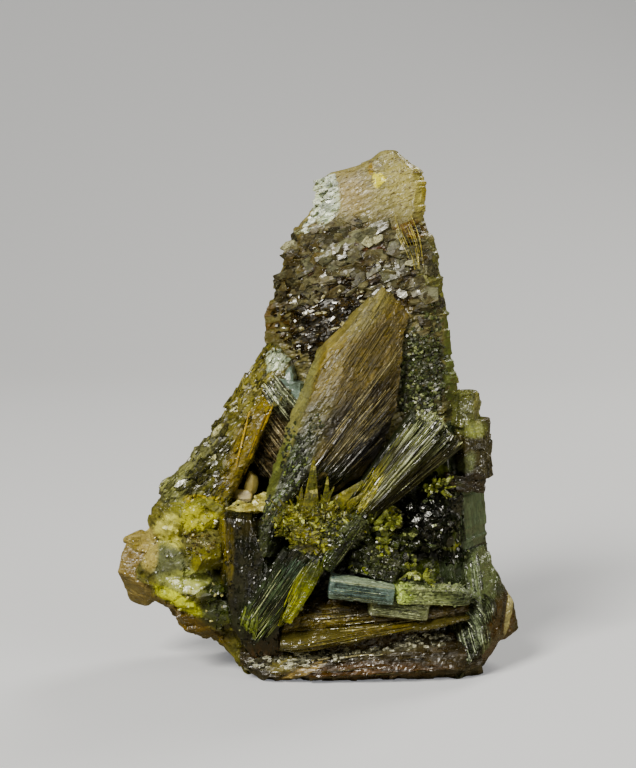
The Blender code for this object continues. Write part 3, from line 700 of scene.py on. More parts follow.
def stone(name, **look):
    # One mineral finish, from a look: colours, patches, tiles or laths, striae, facets
    look = {**lookDefaults, **look}
    material = bpy.data.materials.new(name)
    material.use_nodes = True
    tree = material.node_tree
    sockets = tree.nodes["Principled BSDF"].inputs
    place = vectors(tree, "MULTIPLY", addNode(tree, "ShaderNodeTexCoord")["Object"], perMm)
    noise = noiseAt(tree, place, look["mottle"], 5.0, 0.62)[0]
    speckle = noiseAt(tree, place, mineral["speckleScale"], 3.0)[0]

    def facetsAt(scale):
        spots = vectors(tree, "MULTIPLY", place, (scale, scale, scale))
        inputs = {"Place": spots, "Size": look["facets"], "Lean": look["facetLean"]}
        cell = placeGroup(tree, facetCells("ShaderNodeTree"), inputs)
        return cell["Slope"], split(tree, cell["Random"])

    def lineAt(shape):
        return placeGroup(tree, fineStriae(), {"Place": place, **shape})["Line"]

    slope, facetDice = facetsAt(1.0)
    fineSlope, fineDice = facetsAt(mineral["fineScale"])
    edge, ruled, grooves, line = None, 1.0, None, None
    tone, chance = facetDice[0], facetDice[2]
    if look["cells"] == "laths":
        tone = carried(tree, "tone")
        lane = times(tree, carried(tree, "across"), mineral["laneAcross"])
        lane = maths(tree, "MULTIPLY_ADD", tone, mineral["laneStep"], lane)
        grooves = noiseAt(tree, join(tree, lane, times(tree, carried(tree, "along"),
                                                       mineral["laneAlong"])))[0]
    elif look["cells"]:
        cell = placeGroup(tree, growthCells("ShaderNodeTree"), {"Place": place, **look["cells"]})
        tone, chance, _ = split(tree, cell["Random"])
        edge, ruled = cell["Edge"], carried(tree, "rough")
    colour = addNode(tree, "ShaderNodeRGB")[0]
    colour.default_value = paint(look["base"])
    if look["second"]:
        colour = mixColour(tree, ramp(tree, noise, *mineral["secondRange"]), colour, paint(look["second"]))
    if look["tip"]:
        code, begins = look["tip"]
        share = maths(tree, "MULTIPLY_ADD", centred(tree, tone), mineral["tipUneven"],
                      carried(tree, "along"))
        colour = mixColour(tree, ramp(tree, share, begins, mineral["tipEnd"]), colour, paint(code))
    for code, centre, half, *more in look["patches"]:
        inputs = {"Place": place, "Noise": noise, "Chance": chance, "Centre": (centre[0], 0.0, centre[1]),
                  "Half Width": half[0], "Half Height": half[1], **(more[0] if more else {})}
        colour = mixColour(tree, placeGroup(tree, colourPatch(), inputs)["Mask"], colour, paint(code))
    if look["dashes"]:
        code, share, shape = look["dashes"]
        colour = mixColour(tree, ramp(tree, lineAt(shape), share, 0.5 * share), colour, paint(code))
    # Glints: a share of the faces, picked by tone, painted a pale colour as painted highlights
    if look["glints"]:
        code, share = look["glints"]
        picked = maths(tree, "GREATER_THAN", tone, 1.0 - share)
        colour = mixColour(tree, times(tree, picked, ramp(tree, speckle, 0.3, 0.6)), colour, paint(code))
    spread = times(tree, 2.0 * look["toneSpread"], ruled)
    light = 1.0
    for value, amount in ((tone, spread), (fineDice[0], spread), (speckle, 2.0 * look["speckle"])):
        light = maths(tree, "MULTIPLY_ADD", centred(tree, value), amount, light)
    light = maths(tree, "MAXIMUM", light, mineral["darkest"])
    if edge is not None and look["crack"]:
        # Joints show only here and there
        joint = times(tree, ramp(tree, edge, 0.12, 0.02), ramp(tree, noise, 0.62, 0.45))
        joint = times(tree, joint, times(tree, look["crack"], ruled))
        light = times(tree, light, maths(tree, "SUBTRACT", 1.0, joint))
    if grooves is not None:
        light = times(tree, light, ramp(tree, grooves, 0.35, 0.6, 1.05 - look["grooveDark"], 1.1))
    if look["striae"]:
        line = lineAt(look["striae"])
        light = times(tree, light, ramp(tree, line, 0.0, 1.0, 1.0 - look["striaeDark"], 1.0))
    plug(tree, vectors(tree, "MULTIPLY", colour, light), sockets["Base Color"])
    low, high = look["roughness"]
    rough = maths(tree, "MULTIPLY_ADD", facetDice[1], high - low, low)
    plug(tree, maths(tree, "MULTIPLY_ADD", speckle, mineral["speckleRough"], rough), sockets["Roughness"])
    size = min(look["facets"])
    height = times(tree, slope, times(tree, size * look["facetTilt"], ruled))
    height = maths(tree, "MULTIPLY_ADD", fineSlope, size * look["fineTilt"] / mineral["fineScale"], height)
    if line is not None:
        height = maths(tree, "MULTIPLY_ADD", line, look["striaeDepth"], height)
    bump = addNode(tree, "ShaderNodeBump", {"Height": height, "Strength": 1.0, "Distance": mm})[0]
    plug(tree, bump, sockets["Normal"])
    sockets["IOR"].default_value = mineral["refraction"]
    if look["glow"]:
        sockets["Subsurface Weight"].default_value = look["glow"]
        sockets["Subsurface Radius"].default_value = mineral["glowRadius"]
        sockets["Subsurface Scale"].default_value = mineral["glowDepth"] * mm
    if look["clear"]:
        sockets["Transmission Weight"].default_value = look["clear"]
        inside = {"Color": paint(look["clearColour"]), "Density": look["density"]}
        volume = addNode(tree, "ShaderNodeVolumeAbsorption", inside)[0]
        tree.links.new(volume, tree.nodes["Material Output"].inputs["Volume"])
    return material


def finishesOf(table):
    return {name: stone(name, **look) for name, look in table["finishes"].items()}


def cover(name, host, table, look):
    # Small crystals on a finished piece, in its own look with the table's changes. A table with its own base
    # colour takes none of the host's patches, dashes and striae
    own = {"patches": [], "dashes": None, "striae": None} if "base" in table["look"] else {}
    material = stone(name, **{**look, "cells": "laths", **own, **table["look"]})
    growGrains(name, host, table["where"], material, table["shape"])


def lumpPiece(name, lumps, material, relief, longest=0.2, soften=3):
    bm = bmesh.new()
    for centre, size, seed in lumps:
        lumpMesh(bm, centre, size, seed)
    return carve(solidPiece(name, bm, longest, soften), material, relief)


# Main tablet: the tall smoky plate with rising growth tiles

mainTablet = {
    "stations": [
        (-1.7, 3.0, 11.8, 3.0, 3.0, 0.8, 5.4), (-2.1, 11.1, 11.6, 12.0, 3.0, 0.6, 5.4),
        (-2.4, 18.0, 10.8, 19.6, 2.8, 0.4, 5.3), (-4.0, 23.0, 10.3, 22.3, 2.4, 0.2, 5.2),
        (-4.2, 24.5, 9.9, 24.2, 2.3, 0.1, 5.1), (-4.4, 26.8, 9.7, 26.3, 2.2, 0.0, 5.0),
        (-3.7, 28.1, 9.5, 28.2, 2.1, 0.0, 4.9), (-3.6, 29.3, 9.2, 30.0, 2.1, 0.0, 4.9),
        (-3.0, 30.9, 8.8, 31.6, 2.0, 0.1, 4.7), (-2.6, 32.0, 8.4, 33.0, 2.0, 0.1, 4.6),
        (-1.9, 33.7, 7.8, 34.3, 2.0, 0.2, 4.4), (-1.1, 34.6, 7.8, 35.3, 2.0, 0.3, 4.2),
        (-0.7, 35.9, 8.0, 36.4, 2.0, 0.4, 4.0), (-0.5, 37.1, 7.9, 37.3, 2.0, 0.6, 3.8),
        (0.7, 37.7, 7.4, 37.9, 2.0, 0.8, 3.5), (2.3, 38.1, 6.6, 38.3, 2.0, 1.0, 3.2),
        (3.8, 38.7, 6.2, 38.9, 2.0, 1.2, 3.0), (4.7, 39.4, 5.7, 39.4, 2.0, 1.5, 2.6),
    ],
    "relief": {
        "Lean": lean(21), "Warp": 2.0, "Seed": 1.0, "Block Length": 3.4, "Block Height": 1.7,
        "Block Step": 0.11, "Block Tilt": lean(3), "Tile Length": 1.3, "Tile Height": 0.46,
        "Tile Step": 0.06, "Tile Tilt": lean(8), "Shingle": 0.5, "Chunk Size": (1.1, 0.6, 0.5),
        "Chunk Tilt": 0.05, "Grain Size": 0.35, "Grain Height": 0.08,
    },
    "smoother": [(4.2, 36.2, 3.8, 3.4, 0.2), (9.8, 24.8, 0.75, 5.4, 0.15), (-3.9, 27.0, 0.9, 3.2, 0.4)],
    "look": {
        "base": "958f5e", "second": "7e784e", "mottle": 0.9, "toneSpread": 0.36, "crack": 0.5,
        "roughness": (0.24, 0.46), "facets": (0.7, 0.45, 0.35), "facetLean": lean(21), "facetTilt": 0.2,
        "fineTilt": 0.07, "speckle": 0.45, "glow": 0.2,
        "dashes": ("54471f", 0.2, {"Lean": lean(24), "Spacing": 0.09, "Length": 0.4}),
        "cells": {"Lean": lean(21), "Length": 1.3, "Height": 0.46, "Warp": 2.0, "Seed": 1.0},
        "patches": [
            ("3a2c12", (2.5, 30.0), (7.2, 4.2), {"Soft": 0.3, "Ragged": 1.0}),
            ("120b02", (1.2, 26.2), (4.4, 3.4), {"Soft": 0.4, "Ragged": 1.6}),
            ("241604", (4.6, 30.6), (3.2, 2.2), {"Share": 0.6, "Ragged": 1.4}),
            ("472a06", (4.0, 31.7), (1.4, 0.8), {"Share": 0.7, "Ragged": 1.4}),
            ("402606", (-1.1, 29.9), (1.2, 0.9), {"Share": 0.7, "Ragged": 1.2}),
            ("5f5930", (-3.5, 27.2), (1.5, 3.6), {"Soft": 0.35}),
            ("5c4a20", (-3.9, 26.6), (0.8, 1.6), {"Share": 0.6, "Ragged": 1.2}),
            ("9c8e64", (2.3, 36.2), (1.4, 1.6), {"Soft": 0.8, "Ragged": 1.6}),
            ("a8a062", (6.2, 37.0), (1.6, 1.6), {"Soft": 0.8, "Ragged": 1.8}),
            ("c4bc70", (7.6, 36.3), (0.5, 1.8), {"Soft": 0.6, "Ragged": 1.4}),
            ("453c1a", (-3.1, 28.4), (0.8, 1.2), {"Share": 0.6, "Ragged": 1.2}),
            ("625b34", (-2.4, 30.8), (0.9, 1.8), {"Soft": 0.4}),
            # The next two pale green-white patches are painted highlight where the facets glint
            ("d8e4c8", (0.2, 35.8), (1.1, 2.0), {"Ragged": 0.8, "Soft": 0.12, "Deep": 2.4}),
            ("a3a680", (-1.1, 33.6), (1.0, 1.4), {"Share": 0.6, "Ragged": 0.9, "Deep": 2.4}),
            ("262b0e", (7.4, 22.4), (2.2, 4.0), {"Soft": 0.35, "Ragged": 1.4}),
            ("6f7040", (8.4, 29.6), (1.2, 3.0), {"Soft": 0.4, "Ragged": 1.2}),
            # Yellow-green along the right edge: the thin edge's own colour, painted brighter as a glow of
            # light through it
            ("5f6a32", (9.9, 24.4), (0.6, 5.0), {"Soft": 0.35, "Ragged": 0.7}),
            ("74773e", (9.2, 31.0), (0.5, 3.4), {"Soft": 0.4}),
            ("6a5210", (6.6, 33.4), (1.2, 0.9), {"Share": 0.7, "Ragged": 1.4}),
            # Amber strip on the right edge: its own amber, painted brighter as a glow of light through it
            ("c2b45a", (7.85, 36.5), (0.28, 1.0), {"Ragged": 0.6, "Deep": 2.6}),
            ("e6dc50", (4.25, 37.1), (0.55, 0.6), {"Ragged": 2.4, "Soft": 0.1, "Deep": 2.4}),
            ("8f7a1a", (3.7, 38.0), (0.2, 0.5), {"Ragged": 0.8, "Deep": 2.4}),
        ],
    },
    "plates": {
        "where": [
            (3.6, 31.0, 4.4, 2.5, 1.0), (-1.4, 30.4, 2.2, 3.0, 1.0), (7.6, 30.2, 1.6, 3.6, 0.9),
            (1.6, 33.2, 3.2, 1.2, 0.45), (8.0, 26.6, 1.0, 1.8, 0.5),
        ],
        "shape": {
            "Density": 2.9, "Length": 1.25, "Width": 0.74, "Thickness": 0.16, "Top": 0.56, "Lean": lean(20),
            "Scatter": 0.24, "Roll": 0.14, "Pitch": -0.04, "Facing": 0.6, "Seed": 3,
        },
        "look": {
            "base": "69664c", "second": "403619", "mottle": 0.7, "toneSpread": 0.5, "speckle": 0.4,
            "glints": ("9c9c80", 0.05), "roughness": (0.12, 0.34), "facetTilt": 0.12, "fineTilt": 0.1,
            "glow": 0.0,
        },
    },
    "flakes": {
        "where": [
            (-0.4, 31.2, 2.6, 2.4, 1.0), (4.4, 32.0, 3.0, 2.0, 1.0), (-2.2, 28.4, 1.5, 1.6, 0.9),
            (8.2, 28.2, 1.0, 2.0, 0.7),
        ],
        "shape": {
            "Density": 0.6, "Length": 2.2, "Width": 1.15, "Thickness": 0.16, "Uneven": 0.4, "Top": 0.56,
            "Lean": lean(18), "Scatter": 0.16, "Roll": 0.1, "Pitch": -0.06, "Facing": 0.86, "Seed": 4,
        },
        "look": {
            "base": "6f7058", "second": "4c452c", "mottle": 0.9, "toneSpread": 0.4, "speckle": 0.5,
            "glints": ("9c9c80", 0.05), "roughness": (0.12, 0.34), "facetTilt": 0.15, "fineTilt": 0.1,
            "glow": 0.0,
        },
    },
    "chips": {
        "where": [(1.0, 26.4, 4.2, 3.2, 1.0), (5.4, 29.6, 1.8, 2.2, 0.7), (-1.4, 27.4, 2.0, 2.4, 0.6)],
        "shape": {
            "Density": 9.0, "Length": 0.52, "Width": 0.26, "Thickness": 0.18, "Uneven": 0.55, "Top": 0.5,
            "Lean": lean(26), "Scatter": 0.6, "Roll": 0.35, "Pitch": -0.26, "Facing": 0.6, "Seed": 5,
        },
        "look": {
            "base": "2e220b", "second": "150e02", "toneSpread": 0.8, "glints": ("b0aa84", 0.06),
            "roughness": (0.05, 0.18), "facetTilt": 0.4,
        },
    },
    # Pale green-white plates tilted to catch the key light; their raised pale colour is painted highlight
    "mint": {
        "where": [(0.25, 35.9, 0.85, 1.9, 1.0), (-1.1, 33.7, 0.8, 1.1, 0.9), (0.1, 31.8, 0.7, 1.0, 0.4)],
        "shape": {
            "Density": 6.0, "Length": 0.75, "Width": 0.36, "Thickness": 0.12, "Uneven": 0.35, "Top": 0.54,
            "Lean": lean(14), "Scatter": 0.16, "Roll": 0.09, "Pitch": -0.34, "Facing": 0.5, "Seed": 6,
        },
        "look": {
            "base": "e4f0d8", "second": "8c9878", "toneSpread": 0.55, "glints": ("f8fff2", 0.5),
            "roughness": (0.08, 0.2), "facetTilt": 0.1, "fineTilt": 0.08,
        },
    },
    "crust": {
        "where": [(7.5, 22.4, 1.9, 3.6, 1.0), (8.4, 26.8, 0.8, 1.6, 0.5)],
        "shape": {
            "Density": 12.0, "Length": 0.3, "Width": 0.2, "Thickness": 0.22, "Scatter": 3.0, "Roll": 0.6,
            "Facing": 0.2, "Seed": 7,
        },
        "look": {"base": "4a5430", "second": "262c12", "toneSpread": 0.5, "glints": ("8d9468", 0.12)},
    },
    "needles": {
        "starts": ((5.3, 34.9), (7.0, 34.6)), "ends": ((6.5, 30.4), (8.1, 30.0)), "count": 10,
        "width": 0.042, "lift": 0.3, "uneven": 0.45, "sway": 0.16,
    },
    "finishes": {
        "amberNeedles": {
            "base": "c4b866", "second": "8f8440", "cells": "laths", "toneSpread": 0.4,
            "roughness": (0.12, 0.3),
        },
    },
}


def makeMainTablet():
    look = mainTablet["look"]
    piece = loft("mainTablet", mainTablet["stations"], flatFace, backFace, step=0.125, jag=0.22, seed=3)
    carve(piece, stone("smokyTablet", **look), mainTablet["relief"], mainTablet["smoother"])
    for label in ("plates", "flakes", "chips", "mint", "crust"):
        cover("tablet" + label.title(), piece, mainTablet[label], look)
    needles = finishesOf(mainTablet)["amberNeedles"]
    layLaths("tabletNeedles", random.Random(20), skinOf(piece), needles, mainTablet["needles"])


# Left wing: the olive plate that slopes down to the left, with its amber inner edge

leftWing = {
    "stations": [
        (-12.3, 8.0, -6.4, 8.0, 0.9, -2.2, 4.6), (-12.8, 11.8, -7.1, 11.8, 0.9, -2.5, 4.8),
        (-12.3, 13.9, -6.2, 13.9, 0.8, -2.6, 4.6), (-10.3, 15.7, -5.2, 16.2, 0.7, -2.5, 4.4),
        (-8.8, 17.8, -4.3, 18.2, 0.7, -2.2, 4.2), (-7.6, 19.8, -3.5, 20.0, 0.7, -1.9, 4.1),
        (-6.2, 21.7, -2.0, 20.8, 0.8, -1.5, 4.0), (-5.3, 23.0, -1.9, 22.3, 0.9, -1.0, 3.8),
        (-4.6, 24.1, -2.4, 23.7, 1.0, -0.4, 3.5), (-4.2, 24.7, -3.4, 24.5, 1.2, 0.4, 2.8),
    ],
    "relief": {
        "Lean": lean(50), "Warp": 2.0, "Seed": 4.0, "Block Length": 2.6, "Block Height": 1.2,
        "Block Step": 0.12, "Block Tilt": lean(4), "Tile Length": 1.0, "Tile Height": 0.36,
        "Tile Step": 0.06, "Tile Tilt": lean(11), "Shingle": 0.3, "Chunk Size": (0.9, 0.6, 0.5),
        "Chunk Tilt": 0.08, "Grain Height": 0.07,
    },
    "smoother": [(-6.3, 15.4, 0.9, 2.0, 0.25), (-5.2, 18.4, 1.1, 2.2, 0.6), (-2.2, 22.4, 0.6, 1.0, 0.2)],
    "look": {
        "base": "625d2c", "second": "45461f", "mottle": 0.8, "toneSpread": 0.55, "crack": 0.5,
        "roughness": (0.14, 0.36), "facets": (0.7, 0.4, 0.3), "facetLean": lean(50), "facetTilt": 0.2,
        "fineTilt": 0.12, "speckle": 0.45, "glow": 0.12,
        "cells": {"Lean": lean(50), "Length": 1.0, "Height": 0.36, "Warp": 2.0, "Seed": 4.0},
        "patches": [
            ("6c6026", (-5.6, 17.4), (4.2, 1.0), {"Turn": lean(67), "Soft": 0.3, "Ragged": 0.6}),
            ("78733a", (-5.4, 21.6), (2.2, 1.0), {"Turn": lean(55), "Soft": 0.35}),
            ("70714a", (-9.6, 16.4), (2.4, 1.0), {"Turn": lean(45), "Soft": 0.4, "Ragged": 1.2}),
            ("7a7d4e", (-10.9, 13.8), (1.8, 1.5), {"Soft": 0.3}),
            ("3a3a1a", (-8.6, 15.6), (2.6, 0.7), {"Turn": lean(52), "Soft": 0.4, "Ragged": 1.4}),
            # Painted highlight: pale green-white where the top facets glint
            ("c8d2b4", (-3.4, 23.5), (0.8, 0.7), {"Ragged": 0.8, "Soft": 0.1, "Deep": 2.0}),
            # Painted reflection: blue-grey on a flat facet that mirrors the room above
            ("72827a", (-2.2, 22.3), (0.6, 0.9), {"Ragged": 0.4, "Soft": 0.08}),
            ("a89c1c", (-8.8, 12.9), (1.6, 0.6), {"Ragged": 1.4, "Soft": 0.2}),
        ],
    },
    "plates": {
        "where": [
            (-9.8, 15.0, 2.6, 3.0, 1.0), (-7.9, 17.9, 1.5, 2.8, 1.0), (-6.4, 20.6, 1.3, 1.8, 1.0),
            (-4.6, 22.9, 1.0, 1.4, 0.8),
        ],
        "shape": {
            "Density": 3.2, "Length": 0.85, "Width": 0.38, "Thickness": 0.14, "Top": 0.5, "Lean": lean(50),
            "Scatter": 0.4, "Roll": 0.22, "Pitch": -0.26, "Facing": 0.2, "Seed": 9,
        },
        "look": {"toneSpread": 0.6, "glints": ("c4c294", 0.06), "roughness": (0.08, 0.25)},
    },
    "innerLaths": {
        "starts": ((-6.6, 13.2), (-5.8, 13.4)), "ends": ((-3.7, 20.6), (-3.1, 20.4)), "count": 24,
        "width": 0.08, "lift": 0.02, "uneven": 0.3,
    },
    "amber": {
        "starts": ((-6.75, 13.4), (-6.55, 13.2)), "ends": ((-3.75, 20.8), (-3.5, 20.6)), "count": 6,
        "width": 0.06, "lift": 0.16, "uneven": 0.06,
    },
    "rib": {
        "starts": ((-6.55, 15.6), (-6.45, 15.6)), "ends": ((-5.35, 20.6), (-5.2, 20.5)), "count": 3,
        "width": 0.05, "lift": 0.14, "uneven": 0.1,
    },
    "silver": {
        "starts": ((-4.8, 21.6), (-3.6, 22.8)), "ends": ((-2.6, 18.6), (-1.4, 20.1)), "count": 34,
        "width": 0.06, "lift": 0.14, "uneven": 0.2,
    },
    "wall": [
        (-5.3, 14.9, -3.4, 14.2, 0.6, 0.2, 2.4), (-5.2, 16.0, -2.8, 15.4, 0.4, -0.4, 2.4),
        (-4.8, 18.0, -2.0, 17.4, 0.2, -0.8, 2.4), (-4.2, 20.5, -1.4, 19.6, 0.0, -1.3, 2.4),
        (-3.8, 22.4, -1.2, 21.8, 0.0, -1.3, 2.4),
    ],
    # Pale green-white plates tilted to catch the key light; their raised pale colour is painted highlight
    "sheenPlates": {
        "where": [(-3.4, 23.5, 0.8, 0.8, 1.0)],
        "shape": {
            "Density": 6.0, "Length": 0.6, "Width": 0.34, "Thickness": 0.12, "Uneven": 0.35, "Top": 0.54,
            "Lean": lean(40), "Scatter": 0.3, "Roll": 0.12, "Pitch": -0.3, "Facing": 0.2, "Seed": 10,
        },
        "look": {
            "base": "c8d4b8", "second": "98a68e", "toneSpread": 0.4, "glints": ("f2fce6", 0.3),
            "roughness": (0.08, 0.2), "facetTilt": 0.1, "fineTilt": 0.08,
        },
    },
    "mauve": {
        "starts": ((-5.4, 15.8), (-4.4, 20.8)), "ends": ((-3.8, 13.6), (-2.0, 17.6)), "count": 70,
        "width": 0.055, "lift": 0.06, "uneven": 0.3,
    },
    "finishes": {
        # Amber edge: the thin edge's own amber, painted brighter as a glow of light through it
        "amberEdge": {
            "base": "d2b02c", "second": "a88814", "cells": "laths", "toneSpread": 0.3, "glow": 0.35,
            "roughness": (0.12, 0.3), "speckle": 0.2, "grooveDark": 0.2,
        },
        "wingInner": {
            "base": "5c4a16", "second": "30240a", "cells": "laths", "toneSpread": 0.7, "glow": 0.2,
            "roughness": (0.1, 0.3), "glints": ("94802c", 0.12),
        },
        "silverStriae": {
            "base": "6d735c", "second": "2b281a", "mottle": 0.6, "cells": "laths", "toneSpread": 0.7,
            "roughness": (0.06, 0.2), "glints": ("c3c9aa", 0.25),
        },
        "mauveStriae": {
            "base": "6f624a", "second": "3a2e16", "mottle": 0.5, "cells": "laths", "toneSpread": 0.9,
            "roughness": (0.1, 0.3), "glints": ("b0a688", 0.2),
        },
        "cavityWallStone": {
            "base": "453a22", "second": "22190a", "toneSpread": 0.3,
            # The blue-grey patch is a flat facet's painted reflection of the room above
            "patches": [("6f8078", (-2.0, 21.8), (1.4, 1.5), {"Soft": 0.2, "Ragged": 0.6})],
        },
    },
}


def makeLeftWing():
    look = leftWing["look"]
    finishes = finishesOf(leftWing)
    piece = loft("leftWing", leftWing["stations"], wingFace, backFace, step=0.125, jag=0.2, seed=5)
    skin = skinOf(piece)
    rng = random.Random(21)
    layLaths("wingInnerLaths", rng, skin, finishes["wingInner"], leftWing["innerLaths"])
    # The amber edge laths carry a painted glow
    layLaths("wingAmberEdge", rng, skin, finishes["amberEdge"], leftWing["amber"], leftWing["rib"])
    # The striated wall behind the wing's inner edge, which goes down into the cavity
    wall = loft("cavityWall", leftWing["wall"], flatFace, backFace, step=0.2, jag=0.1, seed=6)
    skin = skinOf(piece, wall)
    layLaths("cavityStriae", rng, skin, finishes["mauveStriae"], leftWing["mauve"])
    layLaths("wingSilverBand", rng, skin, finishes["silverStriae"], leftWing["silver"])
    carve(wall, finishes["cavityWallStone"], {"Seed": 4.0, "Grain Height": 0.06})
    carve(piece, stone("oliveWing", **look), leftWing["relief"], leftWing["smoother"])
    cover("wingPlates", piece, leftWing["plates"], look)
    # Plates whose pale colour is painted highlight
    cover("wingMint", piece, leftWing["sheenPlates"], look)


# Front blade: the golden blade that leans across the front, striated down its right side

frontBlade = {
    "stations": [
        (-5.1, 9.6, -2.6, 9.2, -3.0, -5.6, 1.5), (-4.9, 11.3, -2.6, 10.8, -2.8, -5.9, 1.5),
        (-4.4, 13.0, -1.6, 12.5, -2.2, -5.9, 1.5), (-3.9, 14.7, 0.6, 13.6, -1.8, -5.8, 1.5),
        (-3.4, 16.2, 3.0, 14.9, -1.5, -5.6, 1.5), (-2.8, 18.1, 4.5, 17.1, -1.2, -5.3, 1.5),
        (-2.2, 20.0, 5.5, 19.6, -0.9, -4.9, 1.5), (-1.4, 21.5, 5.8, 21.5, -0.7, -4.5, 1.5),
        (-0.9, 23.0, 6.0, 23.5, -0.5, -4.0, 1.5), (-0.3, 24.4, 6.2, 25.0, -0.3, -3.4, 1.5),
        (1.0, 25.7, 6.4, 26.1, -0.1, -2.8, 1.5), (2.2, 27.0, 6.5, 26.9, 0.1, -2.1, 1.5),
        (3.4, 28.2, 6.1, 27.7, 0.3, -1.4, 1.5), (4.4, 29.2, 5.5, 28.5, 0.5, -0.5, 1.5),
    ],
    "relief": {
        "Lean": lean(52), "Warp": 2.0, "Seed": 7.0, "Tile Length": 1.4, "Tile Height": 0.26,
        "Tile Step": 0.035, "Tile Tilt": lean(8), "Chunk Size": (1.6, 0.8, 0.5), "Chunk Tilt": 0.06,
        "Grain Size": 0.2, "Grain Height": 0.07,
    },
    "look": {
        "base": "6b5d28", "second": "574b20", "mottle": 1.0, "toneSpread": 0.3, "crack": 0.2,
        "roughness": (0.28, 0.5), "facets": (0.8, 0.3, 0.22), "facetLean": lean(52), "facetTilt": 0.12,
        "fineTilt": 0.12, "speckle": 0.5, "glow": 0.35,
        "striae": {"Lean": lean(53), "Spacing": 0.14, "Length": 1.4}, "striaeDark": 0.22,
        "striaeDepth": 0.02,
        "cells": {"Lean": lean(52), "Length": 1.4, "Height": 0.26, "Warp": 2.0, "Seed": 7.0},
        "patches": [
            ("857d4a", (3.4, 27.4), (2.4, 1.0), {"Turn": lean(45), "Soft": 0.4}),
            ("8c8146", (0.6, 24.9), (2.0, 0.6), {"Turn": lean(55), "Soft": 0.4}),
            ("77692a", (0.2, 22.8), (2.6, 1.0), {"Turn": lean(58), "Soft": 0.4}),
            ("5a5428", (-0.4, 19.4), (2.0, 1.5), {"Turn": lean(60), "Soft": 0.4, "Ragged": 1.4}),
            ("262e0f", (-2.1, 15.6), (4.2, 1.2), {"Turn": lean(68), "Soft": 0.35, "Ragged": 1.2}),
            ("44561c", (-2.9, 13.8), (3.6, 1.0), {"Turn": lean(68), "Share": 0.4, "Ragged": 1.6}),
            ("8d8b56", (-2.1, 19.4), (5.4, 0.5), {"Turn": lean(70), "Soft": 0.3, "Ragged": 0.5}),
            ("687038", (-3.7, 14.8), (2.8, 0.4), {"Turn": lean(72), "Soft": 0.3, "Ragged": 0.8}),
            ("1c1306", (3.2, 18.6), (3.0, 2.6), {"Soft": 0.35, "Ragged": 0.8}),
            ("2a3213", (-3.6, 10.6), (2.2, 1.8), {"Soft": 0.3, "Ragged": 0.8}),
        ],
    },
    "moss": {
        "where": [(-2.0, 15.4, 0.9, 3.4, 1.0), (-3.5, 12.0, 0.9, 1.8, 1.0), (-0.6, 18.8, 0.9, 1.4, 0.4)],
        "shape": {
            "Density": 14.0, "Length": 0.26, "Width": 0.14, "Thickness": 0.18, "Lean": lean(66),
            "Scatter": 0.8, "Roll": 0.5, "Seed": 11,
        },
        "look": {
            "base": "263010", "second": "151a07", "toneSpread": 0.7, "facetTilt": 0.12,
            "glints": ("6f7c40", 0.1),
        },
    },
    "bladeGoldStriae": {
        "starts": ((-0.6, 21.4), (1.6, 19.8)), "ends": ((4.0, 28.0), (6.2, 26.6)), "count": 40,
        "width": 0.04, "lift": -0.02, "uneven": 0.5,
    },
    "bladeLaths": {
        "starts": ((-2.2, 13.8), (-0.1, 13.0)), "ends": ((6.2, 25.0), (5.6, 18.2)), "count": 34,
        "width": 0.15, "lift": -0.03, "uneven": 0.35,
    },
    "bladeBrownStriae": {
        "starts": ((-2.0, 14.2), (-0.3, 13.2)), "ends": ((6.4, 25.6), (5.6, 18.4)), "count": 190,
        "width": 0.05, "lift": 0.06, "uneven": 0.5,
    },
    # Fine pale laths: pale striae, painted lighter as highlights along the striated face
    "bladePaleStreaks": {
        "starts": ((-1.0, 16.4), (0.9, 15.2)), "ends": ((6.0, 25.2), (5.6, 19.6)), "count": 90,
        "width": 0.022, "lift": 0.12, "uneven": 0.75,
    },
    "brownLook": {
        "base": "52471f", "second": "332910", "mottle": 0.45, "cells": "laths", "roughness": (0.12, 0.32),
        "facets": (1.4, 0.3, 0.2), "facetLean": lean(50), "facetTilt": 0.15, "fineTilt": 0.12, "glow": 0.25,
        "patches": [
            ("171106", (3.6, 17.6), (2.6, 2.0), {"Soft": 0.4}),
            ("807548", (5.0, 24.8), (2.6, 1.5), {"Turn": lean(50), "Soft": 0.5}),
            # Painted shade: a dark band between lath bundles
            ("2c2410", (4.9, 21.4), (1.9, 0.5), {"Turn": lean(58), "Soft": 0.5, "Ragged": 1.2}),
            # Painted highlight: a pale streak along the laths
            ("6c6038", (2.4, 20.6), (2.8, 0.5), {"Turn": lean(54), "Soft": 0.6, "Ragged": 1.2}),
            ("5f5840", (1.6, 17.6), (2.4, 0.5), {"Turn": lean(52), "Soft": 0.5, "Ragged": 1.2}),
            ("23260d", (0.2, 15.0), (2.4, 1.5), {"Soft": 0.5}),
        ],
    },
    # Their pale colour is partly painted highlight along the striae
    "paleLook": {
        "base": "a59c76", "second": "756b46", "cells": "laths", "toneSpread": 0.6, "roughness": (0.08, 0.25),
        "grooveDark": 0.2, "facetTilt": 0.1, "fineTilt": 0.1,
    },
}


def makeFrontBlade():
    look = frontBlade["look"]
    brown = frontBlade["brownLook"]
    finishes = {
        "bladeGoldStriae": stone("goldStriae", **{**look, "cells": "laths", "striae": None,
                                                  "toneSpread": 0.35}),
        "bladeLaths": stone("brownLathsBroad", **brown, toneSpread=0.45),
        "bladeBrownStriae": stone("brownStriae", **brown, toneSpread=0.55, glints=("948a60", 0.08)),
        "bladePaleStreaks": stone("paleStreaks", **frontBlade["paleLook"]),
    }
    piece = loft("frontBlade", frontBlade["stations"], bladeFace, backFace, step=0.12, jag=0.1, seed=8)
    skin = skinOf(piece)
    rng = random.Random(22)
    for name, finish in finishes.items():
        layLaths(name, rng, skin, finish, frontBlade[name])
    carve(piece, stone("goldenBlade", **look), frontBlade["relief"])
    cover("bladeMoss", piece, frontBlade["moss"], look)


# Dark prism: the near-black block with a cream top and a yellow left edge

